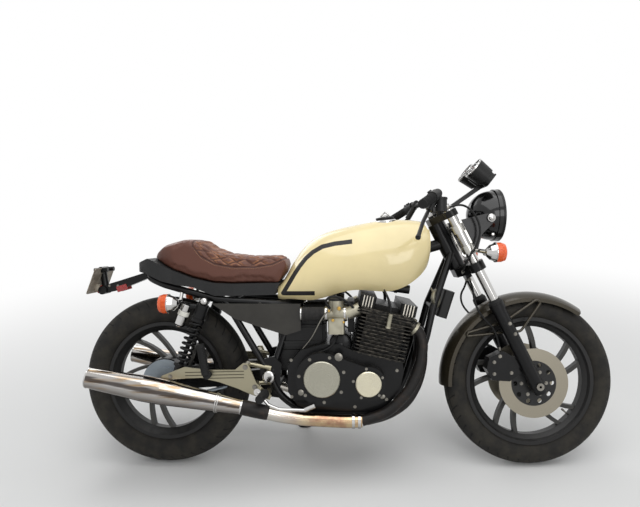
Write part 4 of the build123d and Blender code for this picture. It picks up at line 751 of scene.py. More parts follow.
def mirrored(half, long):
    """The other half of a profile that is the same from both ends."""
    return [(long - along, radius) for along, radius in reversed(half)]


def bar(mesh, start, end, radius, steps=20):
    """Adds a round bar between two places, with slightly rounded ends."""
    way = Vector(end) - Vector(start)
    long, soft = way.length, min(radius * 0.15, 1.0)
    half = [(0, 0), (0, radius - soft), (soft, radius)]
    lathe(mesh, half + mirrored(half, long), start, way, steps=steps)


def ring(mesh, centre, way, radius, thick, long, steps=48):
    """Adds a band round a line: its outer radius, wall and length."""
    soft = min(thick, long) * 0.2
    half = [(0, radius - thick), (0, radius - soft), (soft, radius)]
    lathe(mesh, half + mirrored(half, long), centre, way, closed=True, steps=steps)


def block(mesh, centre, size, turn=Matrix.Identity(4)):
    """Adds a box with its corners softened."""
    matrix = Matrix.Translation(Vector(centre)) @ turn @ Matrix.Diagonal((*size, 1))
    made = bmesh.ops.create_cube(mesh, size=1.0, matrix=matrix)
    edges = {edge for vert in made["verts"] for edge in vert.link_edges}
    bmesh.ops.bevel(mesh, geom=list(edges), offset=min(size) * 0.12, segments=2, affect="EDGES")


def hose(name, points, radius, body, kind, side=1):
    """A hose along a smooth line near its points, which are mirrored for the other side."""
    curve = bpy.data.curves.new(name, "CURVE")
    curve.dimensions = "3D"
    spline = curve.splines.new("NURBS")
    spline.points.add(len(points) - 1)
    for spot, point in zip(spline.points, points):
        spot.co = (*(PLACE[body] @ (Vector(point) * Vector((1, side, 1)))), 1)
    spline.order_u = 3
    spline.use_endpoint_u = True
    curve.resolution_u = 12
    curve.bevel_depth = radius * MM
    curve.bevel_resolution = 4
    curve.use_fill_caps = True
    return placed(name, evaluated(linked(name + "_line", curve)), body, kind)


# Geometry node trees


class Sheet(Nodes):
    """A tree of geometry nodes in the making, with its inputs' first values. One more input is a finish."""

    def __init__(self, name, **inputs):
        self.tree = bpy.data.node_groups.new(name, "GeometryNodeTree")
        socket = self.tree.interface.new_socket
        socket("Geometry", in_out="INPUT", socket_type="NodeSocketGeometry")
        self.keys = {}
        for label, value in inputs.items():
            made = socket(label, in_out="INPUT", socket_type="NodeSocket" + type(value).__name__.title())
            made.default_value = value
            self.keys[label] = made.identifier
        self.keys["finish"] = socket("finish", in_out="INPUT", socket_type="NodeSocketMaterial").identifier
        socket("Geometry", in_out="OUTPUT", socket_type="NodeSocketGeometry")
        self.given = self.node("NodeGroupInput").outputs

    def spread(self, points, instance, **values):
        """Ends the tree: instances on points, realised and with their finish."""
        values = {key.title(): value for key, value in values.items()}
        many = self.made("GeometryNodeInstanceOnPoints", {"Points": points, "Instance": instance, **values})
        real = self.made("GeometryNodeRealizeInstances", {0: many})
        dressed = self.made("GeometryNodeSetMaterial", {"Geometry": real, "Material": self.given["finish"]})
        self.node("NodeGroupOutput", {0: dressed})

    def turned(self, way):
        """The turn that stands a shape's own height along a way."""
        return self.made("FunctionNodeAlignRotationToVector", {"Vector": way}, axis="Z")


def screw_sheet():
    """Nodes that put a hexagon screw with its washer on every point, standing along the point's way."""
    sheet = Sheet("hexagon_screws", head_height=0.75, washer=1.35)
    height = sheet.given["head_height"]
    head = sheet.made("GeometryNodeMeshCylinder", {"Vertices": 6, "Radius": 1.0, "Depth": height})
    half = sheet.made("ShaderNodeMath", {0: height, 1: 0.5}, operation="MULTIPLY")
    lift = sheet.made("ShaderNodeCombineXYZ", {"Z": half})
    raised = sheet.made("GeometryNodeTransform", {"Geometry": head, "Translation": lift})
    washer = sheet.made(
        "GeometryNodeMeshCylinder", {"Vertices": 18, "Radius": sheet.given["washer"], "Depth": 0.3}
    )
    whole = sheet.node("GeometryNodeJoinGeometry", {0: raised})
    sheet.give(whole.inputs[0], washer)
    way, size = (
        sheet.made("GeometryNodeInputNamedAttribute", {"Name": name}, data_type=kind)
        for name, kind in (("way", "FLOAT_VECTOR"), ("size", "FLOAT"))
    )
    sheet.spread(sheet.given["Geometry"], whole.outputs[0], rotation=sheet.turned(way), scale=size)
    return sheet


def rib_sheet():
    """Nodes that set round ribs along a line, at equal steps."""
    sheet = Sheet("ribs_along_a_line", count=8, length=0.1, ring_radius=0.016, rib_radius=0.001)
    end = sheet.made("ShaderNodeCombineXYZ", {"Z": sheet.given["length"]})
    values = {"Count": sheet.given["count"], "Offset": end}
    line = sheet.made("GeometryNodeMeshLine", values, mode="END_POINTS")
    loop, section = (
        sheet.made("GeometryNodeCurvePrimitiveCircle", {"Resolution": corners, "Radius": sheet.given[radius]})
        for corners, radius in ((32, "ring_radius"), (6, "rib_radius"))
    )
    sheet.spread(line, sheet.made("GeometryNodeCurveToMesh", {"Curve": loop, "Profile Curve": section}))
    return sheet


def stitch_sheet():
    """Nodes that lay thread stitches along a seam."""
    sheet = Sheet("stitches_along_a_seam", step=0.0065, stitch_length=0.004, thread_radius=0.0006)
    curve = sheet.made("GeometryNodeMeshToCurve", {0: sheet.given["Geometry"]})
    values = {"Curve": curve, "Length": sheet.given["step"]}
    even = sheet.node("GeometryNodeCurveToPoints", values, mode="LENGTH")
    thread = sheet.made(
        "GeometryNodeMeshCylinder",
        {"Vertices": 6, "Radius": sheet.given["thread_radius"], "Depth": sheet.given["stitch_length"]},
    )
    sheet.spread(even.outputs["Points"], thread, rotation=sheet.turned(even.outputs["Tangent"]))
    return sheet


sheets = {}


def grown(name, sheet, data, body, kind, **values):
    """The mesh data that a tree makes of some mesh data."""
    helper = linked(name + "_seed", data)
    modifier = helper.modifiers.new(name, "NODES")
    modifier.node_group = sheets[sheet].tree
    for label, value in {**values, "finish": finish_of(kind, body)}.items():
        modifier[sheets[sheet].keys[label]] = value
    return evaluated(helper)


def ribs(name, start, way, length, count, ring_radius, rib_radius, body, kind):
    """Round ribs along a line on the machine."""
    sizes = {"length": length * MM, "ring_radius": ring_radius * MM, "rib_radius": rib_radius * MM}
    data = grown(name, "ribs", bpy.data.meshes.new(name), body, kind, count=count, **sizes)
    way = (PLACE[body].to_3x3() @ Vector(way)).normalized()
    turn = way.to_track_quat("Z", "Y").to_matrix().to_4x4()
    data.transform(Matrix.Translation(PLACE[body] @ Vector(start)) @ turn)
    placed(name, data, body, kind, dressed=True)


# Settings


def amount(name, description, default, low=0.0, high=1000.0):
    """A setting that is a number."""
    return FloatProperty(name=name, description=description, default=default, min=low, max=high)


def colour(name, description, default):
    """A setting that is a colour."""
    return FloatVectorProperty(
        name=name, description=description, subtype="COLOR", min=0, max=1, default=default
    )


class PaintSettings(bpy.types.PropertyGroup):
    """The tank's paint."""

    tank_colour: colour("Tank colour", "Colour of the tank's gloss paint", tint(238, 220, 166))
    stripe_colour: colour("Stripe colour", "Colour of the stripe on the tank", tint(26, 24, 24))
    stripe_width: amount("Stripe width", "Width of the tank's stripe in millimetres", 17.0, 4, 40)


class SeatSettings(bpy.types.PropertyGroup):
    """The padded seat."""

    leather_colour: colour("Leather colour", "Colour of the seat's leather", tint(94, 57, 45))
    diamond: amount("Diamond length", "Length of a quilted diamond in millimetres", 62.0, 20, 120)
    puff: amount("Quilt height", "How far a diamond stands proud, in millimetres", 5.0, 0, 12)
    seam_depth: amount("Seam depth", "Depth of the seam round the quilted panel, in millimetres", 3.5, 0, 8)
    cap: amount("Swell", "How far the padding may swell when it is simulated, in millimetres", 5.0, 0, 20)


class LightSettings(bpy.types.PropertyGroup):
    """The studio."""

    overhead: amount("Overhead light", "Power of the large light overhead in watts", 70.0)
    fill: amount("Fill light", "Power of the light beside the camera in watts", 30.0)
    world: amount("World light", "Strength of the light from all round", 0.4, 0, 2)
    floor_reach: IntProperty(
        name="Floor reach", description="Half the floor's size in metres", default=40, min=5, max=100
    )


class CafeRacerSettings(bpy.types.PropertyGroup):
    """All settings of the motorcycle."""

    paint: PointerProperty(name="Paint", description="The tank's paint", type=PaintSettings)
    seat: PointerProperty(name="Seat", description="The padded seat", type=SeatSettings)
    light: PointerProperty(name="Light", description="The studio's light", type=LightSettings)


# Operators


class CAFERACER_OT_finishes(bpy.types.Operator):
    """Gives each solid piece of the machine its paint, plating, rubber or glass"""

    bl_idname = "caferacer.finishes"
    bl_label = "Finishes"

    def execute(self, context):
        details = {**DETAILS, "fuel_tank": (context.scene.cafe_racer.paint,)}
        held_by = frame["record"]["behaviour"]["bodies"].items()
        bodies = {node: body for body, nodes in held_by for node in nodes}
        for kind, names in NODE_FINISHES.items():
            for name in names.split():
                piece = frame["nodes"][name]
                finish = finish_of(kind, bodies[name], *details.get(name, ()))
                if not piece.material_slots:
                    piece.data.materials.append(finish)
                for held in piece.material_slots:
                    held.material = finish
        return {"FINISHED"}


SEAM = ((143, 878), (172, 840), (226, 810), (292, 797), (380, 795), (447, 805), (508, 832))
SEAM_WIDTH = 3.0
PANEL_BACK = 141.0
RIDGE_STEP = 6.0
DIAMOND_SHARE = 0.72
PUFF_WIDTH = 7.0
PUFF_SUNK = 0.75
CHANNEL_WIDTH = 2.0
CREST_FROM_CHANNEL = 6.0
CREST_WIDTH = 3.0
PAD_VOXEL = 0.0045
PAD_INSET = 0.0015
STITCH_ROW_BELOW_SEAM = 7.0
STITCH_ROW_START = 150.0
STITCH_ROW_STEP = 2.9
STITCH_ROW_POINTS = 120
CLOTH_FRAMES = 20


def seam_height(x):
    """Height of the quilted panel's side seam at this place along the seat."""
    if x <= SEAM[0][0]:
        return SEAM[0][1]
    for (x0, z0), (x1, z1) in zip(SEAM, SEAM[1:]):
        if x <= x1:
            return z0 + (z1 - z0) * (x - x0) / (x1 - x0)
    return SEAM[-1][1]


def ease(low, high, value):
    """0 below low, 1 above high, and smooth between them."""
    share = min(1.0, max(0.0, (value - low) / (high - low)))
    return share * share * (3 - 2 * share)


def hump(distance, width):
    """1 at no distance, falling off smoothly over about the width."""
    return math.exp(-((distance / width) ** 2))


def reshaped(name, data, **modifiers):
    """Mesh data after some modifiers, each given as its kind with its settings."""
    helper = linked(name, data)
    for kind, settings in modifiers.items():
        made = helper.modifiers.new(kind, kind.upper())
        for key, value in settings.items():
            setattr(made, key, value)
    return evaluated(helper)


def swollen(data, cap):
    """Blows the pad up a little from inside, as foam in a tight cover stands, and lets no point go far."""
    pad = linked("pad_swell", data)
    scene = bpy.context.scene
    before = [vert.co.copy() for vert in data.vertices]
    cloth = pad.modifiers.new("Cloth", "CLOTH")
    cloth.settings.quality = 4
    cloth.settings.use_pressure = True
    cloth.settings.uniform_pressure_force = 4.0
    cloth.settings.effector_weights.gravity = 0.0
    cloth.point_cache.frame_start = 1
    cloth.point_cache.frame_end = CLOTH_FRAMES
    for moment in range(1, CLOTH_FRAMES + 1):
        scene.frame_set(moment)
    result = evaluated(pad)
    scene.frame_set(1)
    for vert, rest in zip(result.vertices, before):
        move = vert.co - rest
        if move.length > cap:
            vert.co = rest + move * (cap / move.length)
    return result


class CAFERACER_OT_seat(bpy.types.Operator):
    """Pads the seat: brown leather with a quilted panel, its seams and their stitches"""

    bl_idname = "caferacer.seat"
    bl_label = "Padded seat"

    def execute(self, context):
        seat = context.scene.cafe_racer.seat
        copy = bmesh.new()
        copy.from_mesh(frame["nodes"]["seat_pad"].data)
        bmesh.ops.remove_doubles(copy, verts=copy.verts, dist=0.00002)
        data = reshaped(
            "pad_block", meshed("pad_block", copy), remesh={"mode": "VOXEL", "voxel_size": PAD_VOXEL},
            smooth={"factor": 0.6, "iterations": 9}, displace={"strength": -PAD_INSET, "mid_level": 0.0},
        )
        data = swollen(data, seat.cap * MM)
        data = reshaped(
            "pad_fine", data, smooth={"factor": 0.5, "iterations": 4},
            subsurf={"levels": 1, "render_levels": 1},
        )
        self.quilt(data, seat)
        finish_of("seat_leather", "root", seat)
        pad = placed("quilted_seat", data, "root", "seat_leather", sharp=80.0)
        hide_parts("seat_pad")
        context.view_layer.update()
        self.stitch(pad)
        return {"FINISHED"}

    def quilt(self, data, seat):
        """Raises the diamonds, sinks the seams between them and notes both on the mesh for the finish."""
        back = UPRIGHT.inverted()
        spots = [back @ vert.co for vert in data.vertices]
        ridge = {}
        for spot in spots:
            step = round(spot.x / RIDGE_STEP)
            if abs(spot.y) < RIDGE_STEP:
                ridge[step] = max(ridge.get(step, 0.0), spot.z)
        channels, highlight_crests, moves = [], [], []
        slant = math.hypot(1.0, 1.0 / DIAMOND_SHARE)
        for vert, spot in zip(data.vertices, spots):
            past_edge = min(spot.z - seam_height(spot.x), spot.x - PANEL_BACK)
            top = ease(0.0, 10.0, past_edge)
            girth = abs(spot.y) + max(0.0, ridge.get(round(spot.x / RIDGE_STEP), spot.z) - spot.z)
            along = spot.x / seat.diamond
            beside = girth / (seat.diamond * DIAMOND_SHARE)
            first, second = (abs((value + 0.5) % 1.0 - 0.5) for value in (along + beside, along - beside))
            line = min(first, second) * seat.diamond / slant
            edge = hump(past_edge, SEAM_WIDTH)
            puff = 1 - hump(line, PUFF_WIDTH)
            height = (puff - PUFF_SUNK) * seat.puff * top - edge * seat.seam_depth
            channels.append(max(hump(line, CHANNEL_WIDTH) * top, edge))
            # This band beside each channel only takes a painted highlight in the leather's finish
            highlight_crests.append(hump(line - CREST_FROM_CHANNEL, CREST_WIDTH) * top)
            moves.append(vert.normal * (height * MM))
        for vert, move in zip(data.vertices, moves):
            vert.co += move
        for name, values in (("channel", channels), ("highlight_crest", highlight_crests)):
            data.attributes.new(name, "FLOAT", "POINT").data.foreach_set("value", values)

    def stitch(self, pad):
        """Runs a row of tan stitches below the quilted panel's edge, on each side."""
        for side, name in ((-1, "right"), (1, "left")):
            spots = []
            way = (UPRIGHT.to_3x3() @ Vector((0, -side, 0))).normalized()
            for step in range(STITCH_ROW_POINTS):
                x = STITCH_ROW_START + step * STITCH_ROW_STEP
                start = UPRIGHT @ Vector((x, side * 300, seam_height(x) - STITCH_ROW_BELOW_SEAM))
                hit, place, normal, _ = pad.ray_cast(start, way)
                if hit:
                    spots.append(tuple(place + normal * 0.0005))
            line = bpy.data.meshes.new("seam_line")
            line.from_pydata(spots, [(i, i + 1) for i in range(len(spots) - 1)], [])
            data = grown("seam", "stitches", line, "root", "thread")
            placed(f"seat_stitches_{name}", data, "root", "thread", dressed=True)


FILLER = Vector((893, 0, 958))
KNURLS = 36


class CAFERACER_OT_tank_fittings(bpy.types.Operator):
    """Makes the filler cap with its knurled ring and bail"""

    bl_idname = "caferacer.tank_fittings"
    bl_label = "Filler cap"

    def execute(self, context):
        seat, way = FILLER, Vector((-0.1, 0, 1)).normalized()
        base, bail, cap, knurl = (bmesh.new() for _ in range(4))
        lathe(base, [(0, 0), (0, 45), (9, 45), (13, 41), (15, 36), (15, 0)], seat, way)
        top = seat + Vector((-2, 0, 46))
        bar(bail, seat + Vector((-20, 0, 28)), top, 3.4)
        bar(bail, top, seat + Vector((18, 0, 30)), 3.4)
        lathe(bail, [(0, 0), (0, 13), (4, 13), (7, 9), (7, 0)], seat + way * 26, way)
        lathe(cap, [(0, 0), (0, 35), (8, 36), (12, 33), (14, 20), (14, 0)], seat + way * 13, way)
        for step in range(KNURLS):
            turn = math.tau * step / KNURLS
            foot = seat + way * 15 + Vector((math.cos(turn), math.sin(turn), 0)) * 35.6
            bar(knurl, foot, foot + way * 6, 1.5, steps=8)
        ring_piece = finished("filler_ring", base, "root", "chrome")
        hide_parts("fuel_cap")
        finished("filler_cap", cap, "root", "black_plastic")
        finished("filler_bail", bail, "root", "chrome")
        finished("filler_knurl", knurl, "root", "black_plastic")
        return {"FINISHED"}


class CAFERACER_OT_lamps(bpy.types.Operator):
    """Fits the headlamp's bowl, bulb and rim, the turn lamps' rims, the tail lamp and the side reflectors"""

    bl_idname = "caferacer.lamps"
    bl_label = "Lamps"

    def execute(self, context):
        bowl, bulb, rim, bolts, tail, marker = (bmesh.new() for _ in range(6))
        inner = [(-72 + 58 * (share / 8) ** 2, 12 + 80 * share / 8) for share in range(9)]
        outer = [(along - 1.5, radius + 0.8) for along, radius in reversed(inner)]
        lathe(bowl, inner + outer, HEADLIGHT, AHEAD, closed=True, steps=56)
        finished("headlamp_bowl", bowl, "steering", "reflector")
        lathe(bulb, [(-74, 0), (-74, 11), (-56, 11), (-54, 6), (-34, 6), (-30, 0)], HEADLIGHT, AHEAD)
        finished("headlamp_bulb", bulb, "steering", "dial_white", "lamp_glass")
        ring(rim, HEADLIGHT + Vector((-9, 0, 0)), AHEAD, HEADLIGHT_RADIUS + 0.6, 9.5, 12.0, steps=72)
        finished("headlamp_rim", rim, "steering", "black_paint")
        for side, flip in each_side():
            out = Vector((0, side, 0))
            pivot, low = Vector((1277, 119, 967)) * flip, Vector((1283, 113, 905)) * flip
            lathe(bolts, [(0, 0), (0, 15), (2, 15), (3, 11.5), (8, 9.5), (10.5, 5), (11, 0)], pivot, out)
            lathe(bolts, [(0, 0), (0, 6), (3, 5.4), (4.6, 0)], low, out, steps=24)
        finished("headlamp_bolts", bolts, "steering", "chrome")
        for body, name, centre in (("steering", "front", (1266, 178, 836)), ("root", "rear", (62, 178, 664))):
            rims = bmesh.new()
            for _, flip in each_side():
                ring(rims, Vector(centre) * flip, AHEAD, 37.0, 3.0, 4.0)
            finished(f"{name}_turn_lamp_rims", rims, body, "chrome")
        block(tail, (-276, 0, 707), (14, 54, 30))
        finished("tail_lens", tail, "root", "red_lens")
        for y in (-21.93, 21.93):
            block(marker, (-182, y, 712), (44, 3, 24), Matrix.Rotation(math.radians(-16), 4, "Y"))
        finished("side_reflectors", marker, "root", "red_lens")
        return {"FINISHED"}


GAUGE_UP = Vector((-math.cos(GAUGE_TILT), 0, math.sin(GAUGE_TILT)))
GAUGE_OVER = Vector((math.sin(GAUGE_TILT), 0, math.cos(GAUGE_TILT)))
RIGHT = Vector((0, -1, 0))
DIAL_STEPS = 200
DIAL_RINGS = (0.0, 14.0, 25.0, 33.0, 37.8)


class CAFERACER_OT_gauges(bpy.types.Operator):
    """Fits both gauges with a face, numbers, a needle, a bezel and a glass"""

    bl_idname = "caferacer.gauges"
    bl_label = "Gauges"

    def execute(self, context):
        rim, glass, needles, dials = (bmesh.new() for _ in range(4))
        turn_layer = dials.verts.layers.float.new("dial_turn")
        reach_layer = dials.verts.layers.float.new("dial_reach")
        way = GAUGE_OVER * math.cos(math.radians(205)) - RIGHT * math.sin(math.radians(205))
        for side, top_number in ((1, 200), (-1, 10)):
            centre = GAUGE_FACE + Vector((0, side * GAUGE_HALF, 0))
            ring(rim, centre - GAUGE_UP * 3, GAUGE_UP, 43.6, 4.2, 6.0, steps=64)
            lathe(glass, [(-0.5, 0), (-0.5, 39), (1.2, 39), (3.2, 24), (4.0, 0)], centre, GAUGE_UP, steps=48)
            root = centre - GAUGE_UP * 3.6
            bar(needles, root, root + way * 25, 0.9, steps=8)
            lathe(needles, [(-5, 0), (-5, 4), (-2.4, 4), (-2.0, 0)], centre, GAUGE_UP, steps=20)
            self.dial(dials, centre - GAUGE_UP * 5.2, turn_layer, reach_layer)
            for number in range(0, 11, 2):
                angle = math.radians(225 - 27 * number)
                out = RIGHT * math.cos(angle) + GAUGE_OVER * math.sin(angle)
                where = centre - GAUGE_UP * 4.9 + out * 22.5
                self.number(f"dial_number_{side > 0:d}_{number}", str(top_number * number // 10), where)
        finished("gauge_rims", rim, "steering", "chrome")
        finished("gauge_glasses", glass, "steering", "clear_glass")
        finished("gauge_needles", needles, "steering", "needle_red")
        for face in dials.faces:
            if face.normal.dot(GAUGE_UP) < 0:
                face.normal_flip()
        data = meshed("gauge_dials", dials)
        data.transform(STEERED)
        placed("gauge_dials", data, "steering", "dial_face")
        return {"FINISHED"}

    def dial(self, mesh, centre, turn_layer, reach_layer):
        """A round face, with the turn and reach of each point for its printed marks."""
        rings = []
        for radius in DIAL_RINGS:
            row = []
            for step in range(DIAL_STEPS + 1):
                turn = math.tau * step / DIAL_STEPS
                way = GAUGE_OVER * -math.cos(turn) + RIGHT * -math.sin(turn)
                vert = mesh.verts.new(centre + way * radius)
                vert[turn_layer] = step / DIAL_STEPS
                vert[reach_layer] = radius
                row.append(vert)
            rings.append(row)
        for near, far in zip(rings, rings[1:]):
            for step in range(DIAL_STEPS):
                mesh.faces.new((near[step], near[step + 1], far[step + 1], far[step])).normal_update()

    def number(self, name, text, where):
        """One plain number on a dial."""
        curve = bpy.data.curves.new("number", "FONT")
        curve.body = text
        curve.size = 7.0
        curve.align_x = "CENTER"
        curve.align_y = "CENTER"
        curve.extrude = 0.15
        curve.resolution_u = 3
        data = evaluated(linked("number", curve))
        turn = Matrix((GAUGE_OVER.cross(GAUGE_UP), GAUGE_OVER, GAUGE_UP)).transposed().to_4x4()
        data.transform(STEERED @ Matrix.Translation(where) @ turn)
        placed(name, data, "steering", "dial_white", "black_plastic")


class CAFERACER_OT_controls(bpy.types.Operator):
    """Adds the grips' ribs, the brake fluid's lid and window, and the switches"""

    bl_idname = "caferacer.controls"
    bl_label = "Hand controls"

    def execute(self, context):
        lid, window, buttons = (bmesh.new() for _ in range(3))
        way = (BAR_END - BAR_BEND).normalized()
        for side, flip in each_side():
            name = "grip_ribs_left" if side > 0 else "grip_ribs_right"
            ribs(name, (BAR_END - way * 104) * flip, way * flip, 104.0, 24, 16.0, 1.1, "steering", "rubber")
            for along in (0, 14, -12):
                spot = (BAR_END + way * (along - 134)) * flip + Vector((-12, 0, 12))
                bar(buttons, spot, spot + Vector((-6, 0, 6)), 4.2, steps=14)
        lathe(lid, [(0, 0), (0, 26), (5, 26.5), (8, 24), (9, 0)], (1066, -196, 1030), UP)
        finished("fluid_lid", lid, "steering", "black_plastic")
        lathe(window, [(0, 0), (0, 9), (2, 8), (2.6, 0)], (1043.5, -204, 1010), (-0.94, -0.34, 0))
        finished("fluid_window", window, "steering", "clear_glass")
        finished("switch_buttons", buttons, "steering", "black_plastic")
        return {"FINISHED"}


HOSE_RADIUS = 4.0
HOSES = {
    "master_hose": [
        (1086, -190, 996), (1128, -176, 1014), (1176, -150, 1010), (1214, -140, 972), (1230, -139, 918),
        (1214, -138, 862), (1190, -132, 826), (1176, -118, 796), (1176, -92, 775), head_point(-4, -56, 500),
    ],
    "right_brake_hose": [
        head_point(20, -14, 466.9), (1228, -26, 702), (1224, -52, 660), (1232, -72, 616), (1256, -78, 580),
        (1288, -80, 550), (1306, -80, 506), head_point(-16, -78, 172.1),
    ],
    "left_brake_hose": [
        head_point(20, 14, 466.9), (1216, 32, 704), (1202, 60, 668), (1212, 80, 624), (1242, 82, 586),
        (1280, 82, 556), (1304, 80, 508), head_point(-16, 78, 172.1),
    ],
}


class CAFERACER_OT_front_end(bpy.types.Operator):
    """Adds the brake hoses and their fittings, and the fork's caps and dust seals"""

    bl_idname = "caferacer.front_end"
    bl_label = "Front end"

    def execute(self, context):
        fittings, caps, seals = (bmesh.new() for _ in range(3))
        for name, points in HOSES.items():
            piece = hose(name + "_line", points, HOSE_RADIUS, "steering", "rubber")
            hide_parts(name)
            for end, inward in ((points[0], points[1]), (points[-1], points[-2])):
                way = (Vector(inward) - Vector(end)).normalized()
                bar(fittings, Vector(end) + way * 1.0, Vector(end) + way * 15.0, 6.0)
        finished("hose_fittings", fittings, "steering", "steel")
        cap = [(-1, 0), (-1, 18.5), (2, 18.5), (4, 13), (4, 11), (13, 11), (14, 9), (14, 0)]
        seal = [(0, 19.2), (0, 27.5), (9, 27.0), (13, 22.5), (17, 21.0), (19, 19.2)]
        for y in (-FORK_HALF, FORK_HALF):
            lathe(caps, cap, head_point(FORK_OFFSET, y, FORK_TOP), HEAD_WAY)
            lathe(seals, seal, head_point(FORK_OFFSET, y, SLIDER_TOP - 2), HEAD_WAY, closed=True)
        lathe(caps, [(0, 0), (0, 17), (10, 17), (12, 13), (12, 0)], head_point(0, 0, 751), HEAD_WAY, steps=6)
        finished("fork_caps", caps, "steering", "chrome")
        finished("dust_seals", seals, "steering", "rubber")
        return {"FINISHED"}


STARTER = Vector((708, 0, 494))
HORN = Vector((1082, -62, 664))
PORT_WAY = Vector((0.78, 0, -0.63)).normalized()
BAY_LINES = (
    ("drain_hose", 4.0, "rubber", (
        (694, 138, 538), (690, 150, 512), (664, 158, 486), (622, 152, 470), (584, 140, 452),
    )),
    ("vent_hose", 4.6, "rubber", (
        (672, 170, 640), (650, 180, 664), (676, 178, 690), (722, 170, 676), (762, 156, 640), (776, 140, 616),
    )),
    ("choke_cable", 2.6, "steel", (
        (664, 166, 632), (640, 172, 604), (618, 168, 560), (596, 160, 520), (566, 150, 486),
    )),
)


class CAFERACER_OT_engine(bpy.types.Operator):
    """Adds the carburettor tops and links, the filters' pleats and rings, port collars and cover rims"""

    bl_idname = "caferacer.engine"
    bl_label = "Engine"

    def execute(self, context):
        tops, bowls, clips, collars, rims, filler = (bmesh.new() for _ in range(6))
        for number, bore in enumerate(BORES):
            lathe(tops, [(0, 0), (0, 30), (7, 30), (9, 27), (14, 15), (16, 0)], (694, bore, 667), UP)
            lathe(bowls, [(0, 0), (0, 11), (6, 11), (8, 8), (8, 0)], (694, bore, 543), -UP)
            for x in (652, 722):
                ring(clips, (x, bore, CARB_Z), AHEAD, 29.0, 3.0, 8.0)
            ring(clips, (563.5, bore, CARB_Z), -AHEAD, 27.5, 3.0, 5.0)
            lathe(clips, [(0, 0), (0, 25), (2, 24), (3, 0)], (563.4, bore, CARB_Z), -AHEAD)
            foot = (568, bore, CARB_Z)
            ribs(f"filter_pleats_{number}", foot, AHEAD, 76.0, 16, 26.0, 1.6, "root", "filter_gauze")
            ring(collars, Vector((986, bore, 558)) - PORT_WAY * 5, PORT_WAY, 29.0, 9.0, 13.0)
        bar(tops, (680, BORES[0] - 20, 640), (680, BORES[3] + 20, 640), 4.0)
        finished("carburettor_tops", tops, "root", "black_plastic")
        finished("carburettor_plugs", bowls, "root", "steel")
        finished("intake_clips", clips, "root", "chrome")
        finished("port_collars", collars, "root", "cast_alloy")
        self.bay()
        for centre, radius in ((CLUTCH, 70.5), (CRANK, 50.5)):
            for side in (-1, 1):
                spot = centre + Vector((0, side * CASE_SIDE, 0))
                ring(rims, spot, (0, side, 0), radius, 2.6, 5.0, steps=72)
        finished("cover_rims", rims, "root", "engine_black")
        for radius, spot in (
            (15, (702, -CASE_SIDE, 462)), (11, (560, -CASE_SIDE, 330)), (10, (866, -SUMP_SIDE, 300)),
        ):
            lathe(filler, [(0, 0), (0, radius), (5, radius), (7, radius - 3), (7, 0)], spot, RIGHT, steps=24)
        finished("case_plugs", filler, "root", "steel")
        return {"FINISHED"}

    def bay(self):
        """The starter, the battery box with a thin dark plate that stands in for shade between the carburettors
        and the cylinders, the plug caps with their leads, and the hoses of the carburettors.
        """
        starter, box, horn, coils, caps, unions = (bmesh.new() for _ in range(6))
        half = [(128, 0), (128, 34), (124, 42), (90, 44), (86, 41)]
        body = [(-along, radius) for along, radius in half] + half[::-1]
        lathe(starter, body, STARTER, (0, 1, 0), steps=48)
        for side in (-1, 1):
            cap = [(126, 0), (126, 12), (132, 12), (134, 9), (134, 0)]
            lathe(starter, cap, STARTER, (0, side, 0), steps=24)
        finished("starter_motor", starter, "root", "engine_black")
        block(box, (557, 0, 524), (186, 176, 108))
        block(box, (512, 0, 430), (104, 140, 96))
        # A thin dark plate between the carburettors and the cylinders, put there to stand in for shade in that gap
        block(box, (750, 0, 596), (26, 176, 120))
        for y in (-90, 90):
            for z in (552, 500):
                block(box, (557, y, z), (150, 8, 10))
        finished("battery_box", box, "root", "black_plastic")
        profile = [(-16, 0), (-16, 16), (-8, 34), (0, 37), (4, 37), (5, 30), (2, 24), (5, 12), (5, 0)]
        lathe(horn, profile, HORN, (0.86, -0.5, 0))
        bar(horn, HORN, (1066, -30, 700), 4.0)
        finished("horn", horn, "root", "cast_alloy")
        for side in (-1, 1):
            bar(coils, (896, side * 46, 708), (980, side * 46, 696), 17.0)
            ring(coils, (922, side * 46, 704), (0.99, 0, -0.14), 19.5, 3.0, 12.0)
            bar(coils, (938, side * 14, 826), (928, side * 40, 704), 4.5)
            bar(coils, (962, side * 14, 833), (952, side * 40, 700), 4.5)
        finished("ignition_coils", coils, "root", "black_plastic")
        for side in (-1, 1):
            foot, head = block_point(12, side * 184, 118), block_point(10, side * 190, 172)
            bar(caps, foot, head, 8.5)
            ring(caps, foot, head - foot, 11.0, 3.5, 7.0)
            for number, y in enumerate((186, 100)):
                lead = [
                    block_point(10, y, 166), block_point(6, y * 1.01, 196), (890, y * 0.94, 676),
                    (876, y * 0.74, 704),
                ]
                hose(f"plug_lead_{number}_{side > 0:d}", lead, 3.6, "root", "rubber", side)
            for x, z, near, far, radius in (
                (706, 640, 166, 178, 7.0), (682, 596, 166, 176, 5.5), (668, 632, 164, 182, 4.2),
                (722, 588, 160, 172, 4.0),
            ):
                bar(unions, (x, side * near, z), (x, side * far, z), radius)
            for name, radius, kind, points in BAY_LINES:
                hose(f"{name}_{side > 0:d}", points, radius, "root", kind, side)
        finished("plug_caps", caps, "root", "cast_alloy")
        finished("fuel_unions", unions, "root", "brass")


